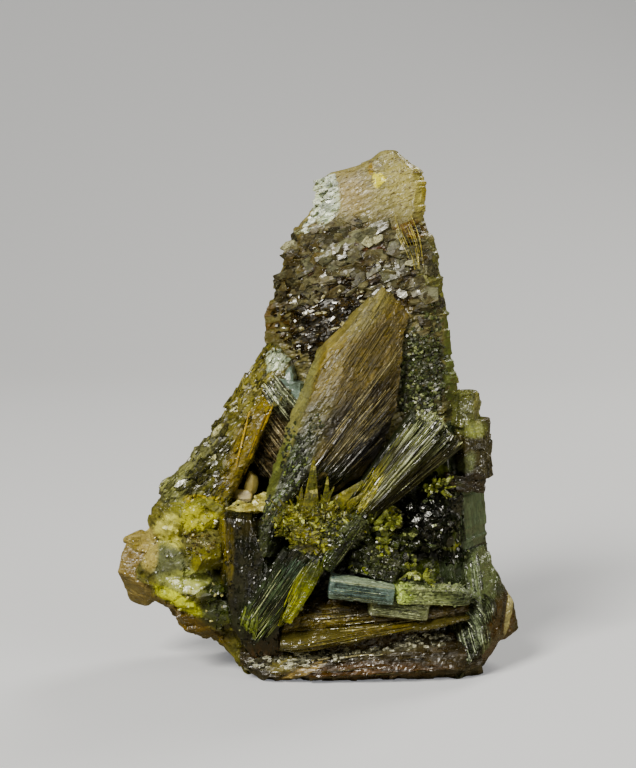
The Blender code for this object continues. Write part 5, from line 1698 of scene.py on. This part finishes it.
rootMass = {
    "stations": [
        (-5.4, -0.8, 11.0, -0.8, 0.0, -4.8, 6.0), (-5.2, 4.0, 11.0, 4.0, 0.0, -5.2, 6.0),
        (-4.6, 8.4, 10.0, 8.4, 0.4, -4.8, 6.0), (-3.6, 11.0, 8.8, 11.4, 1.0, -3.4, 5.8),
        (-2.4, 13.4, 8.2, 14.6, 1.6, -1.6, 5.6),
    ],
    "relief": {
        "Lean": lean(30), "Seed": 6.0, "Chunk Size": (0.8, 0.8, 0.7), "Chunk Step": 0.2, "Chunk Tilt": 0.2,
        "Grain Size": 0.25, "Grain Height": 0.15,
    },
    "look": {
        "base": "262b12", "second": "13160a", "toneSpread": 0.6, "roughness": (0.14, 0.4), "facetTilt": 0.5,
        "speckle": 0.5,
        "patches": [
            ("6e6b1e", (-1.0, 11.9), (2.4, 2.2), {"Soft": 0.4, "Ragged": 1.4}),
            ("39401d", (1.6, 11.6), (1.8, 1.3), {"Soft": 0.4, "Ragged": 1.2}),
            ("7f8029", (5.0, 11.4), (0.8, 2.0), {"Soft": 0.3, "Ragged": 1.6}),
            ("262a12", (4.6, 9.4), (2.0, 1.4), {"Soft": 0.4}),
            ("0a0b05", (8.2, 11.4), (2.4, 3.0), {"Soft": 0.4}),
            ("4f5a22", (7.8, 7.9), (1.6, 0.8), {"Soft": 0.3, "Ragged": 1.6}),
            # Painted light: a lighter brown low down, lifting the deep shade between the prisms
            ("33270e", (2.0, 3.4), (6.0, 1.6), {"Soft": 0.4}),
        ],
    },
    "lumps": [
        ((1.5, -5.0, 11.3), (4.4, 3.2, 2.8), 26), ((-2.4, -5.1, 12.2), (2.2, 2.2, 2.2), 29),
        ((-1.0, -5.8, 10.8), (2.6, 2.2, 2.4), 32), ((-0.2, -4.9, 12.8), (2.4, 2.4, 2.0), 35),
        ((5.0, -3.8, 12.1), (1.8, 2.8, 1.8), 38), ((4.6, -4.3, 9.6), (3.8, 3.6, 3.2), 41),
        ((8.0, -2.6, 12.0), (3.4, 3.0, 4.6), 47), ((9.0, 5.4, 3.4), (5.4, 3.4, 4.4), 53),
    ],
    "druse": {
        "where": [
            (-1.5, 12.0, 2.8, 1.6, 0.9), (0.8, 12.7, 2.2, 1.0, 0.9), (-2.4, 10.6, 1.2, 1.3, 0.6),
            (0.2, 10.4, 0.8, 0.8, 0.5),
        ],
        "shape": {
            "Density": 11.0, "Length": 0.34, "Width": 0.24, "Thickness": 0.45, "Scatter": 3.0, "Roll": 0.8,
            "Top": 0.2, "Facing": -0.1, "Seed": 15,
        },
        "look": {
            "base": "868740", "second": "555a24", "toneSpread": 0.65, "glow": 0.4, "facetTilt": 0.2,
            "fineTilt": 0.1, "glints": ("c2c878", 0.12),
        },
    },
    "green": {
        "where": [(1.7, 11.4, 1.7, 1.1, 1.0), (4.6, 9.4, 2.0, 1.4, 1.0), (-3.0, 9.0, 1.2, 1.6, 0.6)],
        "shape": {
            "Density": 14.0, "Length": 0.24, "Width": 0.16, "Thickness": 0.22, "Lean": lean(40),
            "Scatter": 1.0, "Roll": 0.6, "Facing": 0.0, "Seed": 16,
        },
        "look": {
            "base": "3c4422", "second": "20250f", "toneSpread": 0.5, "facetTilt": 0.15,
            "glints": ("8d9364", 0.05),
        },
    },
    "black": {
        "where": [(8.0, 11.6, 2.0, 3.2, 1.0), (8.6, 8.4, 2.2, 1.0, 0.9)],
        "shape": {
            "Density": 15.0, "Length": 0.24, "Width": 0.18, "Thickness": 0.24, "Uneven": 0.6, "Scatter": 3.0,
            "Roll": 0.6, "Facing": 0.0, "Seed": 17,
        },
        "look": {
            "base": "14180a", "second": "090b05", "toneSpread": 0.6, "roughness": (0.06, 0.2),
            "facetTilt": 0.1, "fineTilt": 0.1, "glints": ("8a9172", 0.04),
        },
    },
    "lime": {
        "where": [
            (5.1, 12.2, 0.6, 0.7, 1.0), (4.5, 10.6, 0.35, 1.2, 0.7), (8.6, 14.9, 1.0, 0.5, 1.0),
            (7.4, 8.0, 0.9, 0.4, 0.8), (9.8, 9.7, 0.5, 0.22, 0.8), (-3.0, 12.9, 0.5, 0.4, 0.5),
            (6.6, 8.6, 0.3, 0.9, 0.6), (2.4, 8.6, 1.6, 0.3, 0.5),
        ],
        "shape": {
            "Density": 15.0, "Length": 0.34, "Width": 0.2, "Thickness": 0.24, "Uneven": 0.6, "Scatter": 3.0,
            "Roll": 0.7, "Top": 0.3, "Facing": 0.0, "Seed": 18,
        },
        "look": {
            "base": "98a03a", "second": "66722a", "toneSpread": 0.5, "glow": 0.4, "glints": ("ccd488", 0.2),
        },
    },
    "spikes": [
        ((-1.0, -5.4, 12.0), (-0.6, -6.5, 17.0), 1.4, 0.6, 5),
        ((-1.7, -5.3, 12.4), (-1.5, -6.3, 14.8), 0.7, 0.45, 4),
        ((0.2, -5.4, 12.7), (0.4, -6.3, 15.6), 0.8, 0.4, 5),
        ((0.3, -5.3, 12.8), (3.0, -6.0, 15.2), 1.1, 0.35, 4),
        ((0.9, -5.3, 12.6), (3.1, -6.0, 14.3), 0.8, 0.35, 4),
        ((-0.4, -5.4, 12.4), (0.9, -6.2, 14.8), 0.6, 0.35, 4),
    ],
    "clouds": {
        "druseSpikes": [
            {
                "count": 120, "centre": (-0.3, -5.4, 12.0), "spread": (2.8, 0.5, 1.2), "length": (0.5, 1.4),
                "width": (0.16, 0.38),
            },
        ],
        "blackCrystals": [
            {
                "count": 54, "centre": (8.0, -3.0, 11.6), "spread": (1.8, 0.9, 2.6), "length": (0.5, 1.4),
                "width": (0.35, 0.95), "rise": 0.2, "taper": (0.5, 0.9),
            },
        ],
        "greenCrystals": [
            {
                "count": 56, "centre": (4.7, -5.0, 9.6), "spread": (2.1, 0.7, 1.5), "length": (0.4, 1.1),
                "width": (0.3, 0.8), "rise": 0.2, "taper": (0.5, 0.9),
            },
        ],
        "limeCrust": [
            {"count": 26, "centre": (8.5, -4.2, 14.4), "spread": (0.9, 0.3, 0.5)},
            {"count": 16, "centre": (5.3, -5.6, 11.9), "spread": (0.4, 0.3, 0.5)},
            {"count": 12, "centre": (4.7, -6.0, 10.6), "spread": (0.3, 0.3, 0.8)},
            {"count": 12, "centre": (6.6, -5.8, 8.5), "spread": (0.3, 0.3, 0.5)},
            {"count": 9, "centre": (7.5, -5.5, 7.8), "spread": (0.5, 0.3, 0.3)},
            {"count": 26, "centre": (3.4, -5.7, 11.6), "spread": (1.2, 0.3, 0.8)},
        ],
    },
    "limeShape": {"length": (0.3, 0.8), "width": (0.14, 0.42), "rise": 0.2, "taper": (0.3, 0.8)},
    "nodule": [((-5.3, -0.85, 14.2), (0.9, 1.0, 1.9), 44), ((-5.9, -0.9, 13.0), (1.8, 1.3, 1.3), 46)],
    "finishes": {
        "druseSpikes": {
            "base": "7f7b34", "second": "585c24", "toneSpread": 0.3, "glow": 0.4, "speckle": 0.5,
            "glints": ("b5b06a", 0.1), "striae": {"Lean": lean(80), "Spacing": 0.12, "Length": 1.0},
            "striaeDark": 0.4, "striaeDepth": 0.02, "facetTilt": 0.2, "fineTilt": 0.15,
        },
        "amberNodule": {
            "base": "a89a60", "second": "8a7a40", "toneSpread": 0.05, "glow": 0.5, "roughness": (0.4, 0.5),
            "facetTilt": 0.03, "fineTilt": 0.03, "speckle": 0.15,
        },
        "limeCrust": {
            "base": "7d8440", "second": "555e28", "toneSpread": 0.5, "glow": 0.2, "speckle": 0.6,
            "facetTilt": 0.3, "glints": ("b8c07a", 0.06),
        },
        "blackCrystals": {
            "base": "14180b", "second": "080a05", "toneSpread": 0.6, "roughness": (0.04, 0.16),
            "facetTilt": 0.15, "fineTilt": 0.12, "glints": ("5c6648", 0.06),
            "striae": {"Lean": lean(118), "Spacing": 0.12, "Length": 1.2}, "striaeDark": 0.4,
            "striaeDepth": 0.02,
        },
        "greenCrystals": {
            "base": "30371a", "second": "171b0b", "toneSpread": 0.6, "roughness": (0.08, 0.24),
            "facetTilt": 0.15, "fineTilt": 0.12, "glints": ("7f8658", 0.08),
        },
    },
}


def makeRootMass():
    look = rootMass["look"]
    ground = stone("darkGround", **look)
    finishes = finishesOf(rootMass)
    piece = loft("rootMass", rootMass["stations"], roundFace, backFace, step=0.22, jag=0.1, seed=15)
    carve(piece, ground, rootMass["relief"])
    lumpRelief = {**rootMass["relief"], "Chunk Step": 0.14, "Chunk Tilt": 0.16}
    lumps = lumpPiece("groundLumps", rootMass["lumps"], ground, lumpRelief, longest=0.22, soften=4)
    for label in ("druse", "green", "black", "lime"):
        cover(label + "Grains", lumps, rootMass[label], look)
    rng = random.Random(26)
    grainy = {"Seed": 1.0, "Grain Height": 0.06}
    for name, clouds in rootMass["clouds"].items():
        bm = bmesh.new()
        if name == "druseSpikes":
            for shape in rootMass["spikes"]:
                prismMesh(bm, *shape, taper=0.1, turn=0.3)
        lime = name == "limeCrust"
        for cloud in clouds:
            crystalCloud(bm, rng, **cloud, **(rootMass["limeShape"] if lime else {}))
        carve(solidPiece(name, bm, longest=0.2 if lime else 0.25), finishes[name], grainy)
    smooth = {"Seed": 1.0, "Grain Size": 0.4, "Grain Height": 0.02}
    lumpPiece("amberNodule", rootMass["nodule"], finishes["amberNodule"], smooth, longest=0.12, soften=6)


# Base: the see-through amber ledge between brown layers, above the bumpy foot

base = {
    "amberLedge": [
        (-3.2, 2.2, -3.0, 3.8, -4.6, -6.7, -1.0), (-1.6, 2.1, -1.6, 4.0, -4.6, -7.0, -1.0),
        (4.0, 3.2, 4.0, 4.7, -4.6, -6.8, -1.0), (8.8, 3.9, 8.8, 4.8, -4.0, -6.0, -1.0),
        (11.0, 4.3, 11.0, 4.9, -3.4, -4.4, -1.0),
    ],
    "brownLayer": [
        (-3.0, 3.3, -2.6, 5.4, -4.4, -6.0, -0.6), (0.6, 3.6, 0.6, 6.6, -4.4, -6.4, -0.6),
        (5.4, 4.1, 5.4, 6.2, -4.2, -6.2, -0.6), (8.8, 4.4, 8.8, 5.9, -3.6, -5.6, -0.6),
        (11.2, 4.6, 11.2, 5.7, -3.2, -4.0, -0.6),
    ],
    "baseLedge": [
        (-6.2, 0.9, -6.0, 2.6, 0.0, -5.0, 4.6), (-4.6, -0.8, -4.2, 2.7, 0.0, -6.1, 5.2),
        (0.0, -0.8, 0.0, 2.7, 0.0, -6.6, 6.4), (6.0, -0.8, 6.0, 3.6, 0.0, -6.5, 6.4),
        (10.0, -0.8, 9.8, 3.8, 0.0, -5.8, 5.4), (12.2, -0.8, 11.8, 3.4, 0.0, -4.2, 4.6),
    ],
    "bumps": {
        "where": [
            (-2.6, 1.7, 1.9, 0.45, 1.0), (0.4, 2.1, 2.0, 0.48, 1.0), (3.2, 2.55, 2.0, 0.5, 1.0),
            (6.0, 2.95, 1.9, 0.5, 1.0), (8.4, 3.1, 1.4, 0.5, 0.6), (-4.6, 1.6, 1.0, 0.8, 0.7),
        ],
        "shape": {
            "Density": 15.0, "Length": 0.42, "Width": 0.22, "Thickness": 0.2, "Lean": lean(6),
            "Scatter": 0.5, "Roll": 0.22, "Top": 0.5, "Pitch": -0.3, "Facing": 0.3, "Seed": 19,
        },
        "look": {
            "base": "787763", "second": "3d3a27", "toneSpread": 0.7, "roughness": (0.06, 0.2),
            "glints": ("c4c4b0", 0.4),
        },
    },
    "brownLaths": {"starts": ((-3.0, 3.9), (-2.2, 5.9)), "ends": ((9.4, 4.8), (9.8, 5.9)), "count": 15},
    "amberLaths": {"starts": ((-3.4, 2.2), (-2.8, 4.4)), "ends": ((8.8, 4.3), (9.4, 5.0)), "count": 19},
    "footLaths": {"starts": ((-5.4, 0.3), (-4.2, 2.6)), "ends": ((10.4, 0.5), (10.4, 3.7)), "count": 9},
    "lathShape": {"width": 0.07, "lift": 0.02, "uneven": 0.5, "sway": 0.17, "bends": 12},
    "layered": {
        "Lean": lean(4), "Warp": 1.2, "Seed": 8.0, "Tile Length": 1.6, "Tile Height": 0.3, "Tile Step": 0.08,
        "Tile Tilt": lean(8), "Chunk Size": (0.9, 0.6, 0.4), "Chunk Tilt": 0.08, "Grain Size": 0.25,
        "Grain Height": 0.08,
    },
    "clearRelief": {
        "Lean": lean(8), "Warp": 0.8, "Seed": 8.0, "Tile Length": 2.4, "Tile Height": 0.4, "Tile Step": 0.05,
        "Tile Tilt": lean(5), "Grain Size": 0.5, "Grain Height": 0.08,
    },
    "finishes": {
        "footBrown": {
            "base": "352c17", "second": "221b0c", "mottle": 0.6, "toneSpread": 0.4,
            "roughness": (0.12, 0.36), "facets": (1.0, 0.4, 0.25), "facetTilt": 0.2, "fineTilt": 0.12,
            "facetLean": lean(3), "striae": {"Lean": lean(3), "Spacing": 0.25, "Length": 3.0},
            "striaeDark": 0.3, "striaeDepth": 0.03,
            "patches": [
                ("4a4530", (1.0, 2.4), (6.6, 0.5), {"Turn": lean(3), "Ragged": 1.2, "Soft": 0.4}),
                ("b09a62", (-1.4, 0.9), (1.8, 0.28), {"Turn": lean(24), "Soft": 0.3, "Ragged": 0.8}),
                ("78713f", (-2.6, 1.6), (1.6, 0.6), {"Turn": lean(14), "Soft": 0.4, "Ragged": 1.2}),
                ("4a3418", (4.0, 0.9), (5.0, 0.7), {"Soft": 0.4, "Ragged": 1.0}),
            ],
        },
        "clearAmber": {
            "base": "948a4c", "toneSpread": 0.2, "speckle": 0.3, "roughness": (0.08, 0.2), "facetTilt": 0.2,
            "clear": 0.7, "density": 300.0, "clearColour": "9c8c3c",
            "striae": {"Lean": lean(8), "Spacing": 0.3, "Length": 4.0}, "striaeDark": 0.35,
            "striaeDepth": 0.04,
        },
        "brownLayers": {
            "base": "3d3214", "second": "524518", "mottle": 0.6, "toneSpread": 0.4, "roughness": (0.14, 0.4),
            "glow": 0.15, "striae": {"Lean": lean(4), "Spacing": 0.2, "Length": 3.0}, "striaeDark": 0.5,
            "striaeDepth": 0.05,
            "patches": [("736628", (0.4, 4.4), (3.0, 0.8), {"Soft": 0.5, "Ragged": 1.4})],
        },
        "brownLaths": {
            "base": "4a4122", "second": "2a2410", "cells": "laths", "toneSpread": 0.5, "facetTilt": 0.15,
            "fineTilt": 0.1, "grooveDark": 0.3, "roughness": (0.12, 0.32), "glints": ("8a845e", 0.06),
            "patches": [
                ("6c6432", (0.6, 4.6), (3.0, 0.8), {"Soft": 0.5, "Ragged": 1.2}),
                ("241a0a", (4.0, 5.9), (5.0, 0.5), {"Turn": lean(-4), "Soft": 0.4, "Ragged": 0.8}),
            ],
        },
        "amberLaths": {
            "base": "787036", "second": "51451c", "cells": "laths", "toneSpread": 0.35, "facetTilt": 0.15,
            "grooveDark": 0.25, "roughness": (0.1, 0.28), "glints": ("9c9460", 0.06), "mottle": 0.5,
            "patches": [
                ("6c6028", (5.4, 4.3), (4.0, 0.4), {"Turn": lean(5), "Soft": 0.4}),
                ("8a8044", (-1.0, 3.0), (2.0, 0.6), {"Turn": lean(12), "Soft": 0.5, "Ragged": 1.0}),
            ],
        },
    },
}


def makeBase():
    finishes = finishesOf(base)
    rng = random.Random(27)
    made = []
    for name, finish, relief, laths, lathFinish in (
            ("amberLedge", "clearAmber", "clearRelief", "amberLaths", "amberLaths"),
            ("brownLayer", "brownLayers", "layered", "brownLaths", "brownLaths"),
            ("baseLedge", "footBrown", "layered", "footLaths", "brownLaths")):
        piece = loft(name, base[name], roundFace, backFace, step=0.17, jag=0.08, seed=17)
        table = {**base["lathShape"], **base[laths]}
        layLaths(laths, rng, skinOf(piece, *made), finishes[lathFinish], table)
        made.append(carve(piece, finishes[finish], base[relief]))
    cover("footBumps", piece, base["bumps"], base["finishes"]["footBrown"])


# Back: the tablets and prisms that the photograph doesn't show

backCrystals = {
    "backTablet": {
        "stations": [
            (-6.6, -0.8, 6.4, -0.8, 5.2, 3.0, 6.8), (-7.3, 6.0, 6.6, 6.4, 5.2, 3.0, 7.1),
            (-6.9, 12.6, 6.2, 13.4, 5.1, 3.0, 7.0), (-5.6, 17.6, 5.8, 19.0, 5.0, 3.0, 6.7),
            (-4.2, 21.0, 5.0, 23.0, 4.8, 3.0, 6.4), (-1.4, 23.6, 3.4, 25.0, 4.6, 3.0, 5.9),
        ],
        "back": flatFace, "finish": "oliveBack",
    },
    "backRight": {
        "stations": [
            (3.6, -0.8, 12.2, -0.8, 4.4, 2.0, 6.7), (5.0, 7.4, 12.4, 7.8, 4.4, 2.0, 6.9),
            (6.8, 13.0, 12.0, 14.2, 4.2, 2.0, 6.5), (8.4, 17.2, 11.0, 18.4, 4.0, 2.0, 5.6),
        ],
        "back": ridgeFace, "finish": "greenBack",
    },
    "backLeft": {
        "stations": [
            (-12.4, 5.4, -5.6, 3.0, 3.4, 1.0, 6.3), (-12.9, 9.0, -6.0, 8.4, 3.4, 1.0, 6.6),
            (-11.6, 13.0, -5.6, 12.4, 3.4, 1.0, 6.2), (-9.4, 15.8, -5.6, 15.4, 3.4, 1.0, 5.4),
        ],
        "back": roundFace, "finish": "oliveBack",
    },
}
backPrisms = [
    ((-3.6, 5.4, 0.6), (-9.0, 4.9, 15.4), 2.8, 2.8, 6),
    ((1.6, 6.6, 0.2), (-3.6, 6.4, 13.2), 1.7, 2.2, 6),
    ((3.0, 6.7, 0.4), (4.6, 6.4, 16.2), 1.9, 2.2, 6),
    ((5.6, 6.4, 0.4), (9.2, 5.7, 12.0), 1.6, 2.4, 6),
    ((7.4, 4.2, 13.4), (9.4, 3.9, 21.8), 1.7, 1.9, 6),
]
backCover = {
    "where": [(-1.0, 12.0, 7.0, 11.0, 1.0), (9.0, 9.0, 3.4, 8.0, 0.8), (-9.0, 10.0, 3.4, 5.0, 0.8)],
    "shape": {
        "Density": 1.6, "Length": 1.1, "Width": 0.5, "Thickness": 0.24, "Lean": lean(-18), "Scatter": 0.5,
        "Roll": 0.2, "Facing": -2.0, "Seed": 21,
    },
    "look": {"toneSpread": 0.6, "glints": ("a6a478", 0.08)},
}
backLook = {
    "mottle": 0.6,
    "toneSpread": 0.5,
    "crack": 0.4,
    "cells": {"Lean": lean(-18), "Length": 1.3, "Height": 0.5, "Warp": 1.6, "Seed": 15.0},
}
backLooks = {
    "oliveBack": {
        "base": "565022", "second": "383812",
        "patches": [
            ("76722e", (-2.0, 19.0), (3.4, 2.0), {"Soft": 0.5}),
            ("6b5618", (2.6, 8.0), (2.6, 3.0), {"Soft": 0.5, "Share": 0.6}),
            ("262812", (-9.0, 8.0), (3.0, 3.0), {"Soft": 0.5}),
        ],
    },
    "greenBack": {
        "base": "2a3018", "second": "171b0c",
        "patches": [("59602a", (9.0, 14.0), (2.0, 3.0), {"Soft": 0.5, "Share": 0.6})],
    },
}
backRelief = {
    "Lean": lean(-18),
    "Warp": 1.6,
    "Seed": 15.0,
    "Block Length": 3.0,
    "Block Height": 1.4,
    "Block Step": 0.12,
    "Block Tilt": lean(4),
    "Tile Length": 1.3,
    "Tile Height": 0.5,
    "Tile Step": 0.06,
    "Tile Tilt": lean(9),
    "Shingle": 0.4,
    "Chunk Size": (0.9, 0.7, 0.6),
    "Chunk Tilt": 0.08,
    "Grain Height": 0.07,
}
prismLook = {
    "base": "434a20",
    "second": "232810",
    "mottle": 0.5,
    "toneSpread": 0.5,
    "roughness": (0.1, 0.3),
    "striae": {"Lean": lean(86), "Spacing": 0.2, "Length": 5.0},
    "striaeDark": 0.5,
    "striaeDepth": 0.04,
}
prismRelief = {
    "Lean": lean(86),
    "Warp": 0.6,
    "Seed": 3.0,
    "Tile Length": 3.0,
    "Tile Height": 0.3,
    "Tile Step": 0.06,
    "Tile Tilt": lean(6),
    "Grain Height": 0.05,
}


def makeBack():
    finishes = {name: stone(name, **backLook, **look) for name, look in backLooks.items()}
    for name, table in backCrystals.items():
        piece = loft(name, table["stations"], backFace, table["back"], step=0.17, jag=0.12, seed=19)
        carve(piece, finishes[table["finish"]], backRelief)
        cover(name + "Plates", piece, backCover, {**backLook, **backLooks[table["finish"]]})
    bm = bmesh.new()
    for shape in backPrisms:
        prismMesh(bm, *shape)
    carve(solidPiece("backPrisms", bm, longest=0.27, soften=1), stone("backPrisms", **prismLook),
          prismRelief)


# The light, the floor and the camera

studio = {
    "distance": 0.17, "elevation": 6.0, "aim": (-0.0003, 0.0, 0.02173), "frameWidth": 636,
    "mmPerPixel": 40 / 527,
    "sensor": 36.0, "lightColour": (1.0, 0.96, 0.84),
    "keyPower": 2.3, "keySize": 0.13, "keyPlace": (-0.16, -0.30, 0.26),
    "fillPower": 0.45, "fillSize": 0.22, "fillPlace": (0.28, -0.26, 0.14),
    "rimPower": 0.6, "rimSize": 0.12, "rimPlace": (0.16, 0.22, 0.24),
    "world": 0.05, "worldColour": (1.0, 0.95, 0.82, 1.0), "seenWorld": 0.95,
    "floor": "e6e8ee", "floorGlow": "8a8468", "paperLight": 0.22,
    "sweep": {"front": -1.2, "back": 0.22, "halfWidth": 1.2, "bend": 0.3, "top": 0.8, "turns": 16},
}


def areaLight(name, power, size, place):
    data = bpy.data.lights.new(name, "AREA")
    data.energy = power
    data.size = size
    data.color = studio["lightColour"]
    light = bpy.data.objects.new(name, data)
    light.location = place
    aim = Vector(studio["aim"]) - Vector(place)
    light.rotation_euler = aim.to_track_quat("-Z", "Y").to_euler()
    bpy.context.scene.collection.objects.link(light)


def makeStudio():
    for name in ("key", "fill", "rim"):
        areaLight(name + "Light", studio[name + "Power"], studio[name + "Size"], studio[name + "Place"])
    # The room is pale where it is seen and dim in the crystals' reflections
    world = bpy.data.worlds.new("paleRoom")
    world.use_nodes = True
    tree = world.node_tree
    sight = addNode(tree, "ShaderNodeLightPath")["Is Camera Ray"]
    strength = ramp(tree, sight, 0.0, 1.0, studio["world"], studio["seenWorld"])
    plug(tree, strength, tree.nodes["Background"].inputs[1])
    tree.nodes["Background"].inputs[0].default_value = studio["worldColour"]
    bpy.context.scene.world = world
    # A sweep: the floor curves up behind the specimen
    sweep = studio["sweep"]
    outline = [(sweep["front"], 0.0), (sweep["back"], 0.0)]
    for turn in range(1, sweep["turns"] + 1):
        angle = math.pi / 2 * turn / sweep["turns"]
        outline.append((sweep["back"] + sweep["bend"] * math.sin(angle),
                        sweep["bend"] * (1.0 - math.cos(angle))))
    outline.append((sweep["back"] + sweep["bend"], sweep["top"]))
    points = [(side * sweep["halfWidth"], y, z) for y, z in outline for side in (-1, 1)]
    faces = [(2 * k, 2 * k + 1, 2 * k + 3, 2 * k + 2) for k in range(len(outline) - 1)]
    mesh = bpy.data.meshes.new("paleSweep")
    mesh.from_pydata(points, [], faces)
    mesh.polygons.foreach_set("use_smooth", [True] * len(mesh.polygons))
    floor = bpy.data.objects.new("paleSweep", mesh)
    bpy.context.scene.collection.objects.link(floor)
    # Pale where it is seen, and darker in the crystals' reflections
    paper = bpy.data.materials.new("palePaper")
    paper.use_nodes = True
    tree = paper.node_tree
    sight = addNode(tree, "ShaderNodeLightPath")["Is Camera Ray"]
    sockets = tree.nodes["Principled BSDF"].inputs
    seen = paint(studio["floor"])
    plug(tree, mixColour(tree, sight, paint(studio["floorGlow"]), seen), sockets["Base Color"])
    plug(tree, mixColour(tree, sight, (0.0, 0.0, 0.0, 1.0), seen), sockets["Emission Color"])
    sockets["Roughness"].default_value = 0.8
    sockets["Emission Strength"].default_value = studio["paperLight"]
    mesh.materials.append(paper)


def makeCamera():
    up = math.radians(studio["elevation"])
    aim = Vector(studio["aim"])
    back = Vector((0.0, -math.cos(up), math.sin(up)))
    data = bpy.data.cameras.new("photoView")
    data.sensor_fit = "HORIZONTAL"
    data.sensor_width = studio["sensor"]
    data.lens = studio["sensor"] * studio["distance"] / (studio["frameWidth"] * studio["mmPerPixel"] * mm)
    data.clip_start = 0.01
    camera = bpy.data.objects.new("photoView", data)
    camera.location = aim + back * studio["distance"]
    camera.rotation_euler = back.to_track_quat("Z", "Y").to_euler()
    bpy.context.scene.collection.objects.link(camera)
    bpy.context.scene.camera = camera


makeStudio()
makeCamera()
print("studio ready")
makeMainTablet()
print("main tablet ready")
makeLeftWing()
makeFrontBlade()
makeDarkPrism()
print("wing and blades ready")
makeLeftMass()
makeRightSide()
makeSideBlocks()
print("left mass and right side ready")
makeBundles()
makeLowPrisms()
makeRootMass()
print("bundles, prisms and druse ready")
makeBase()
makeBack()
print("base and back ready")
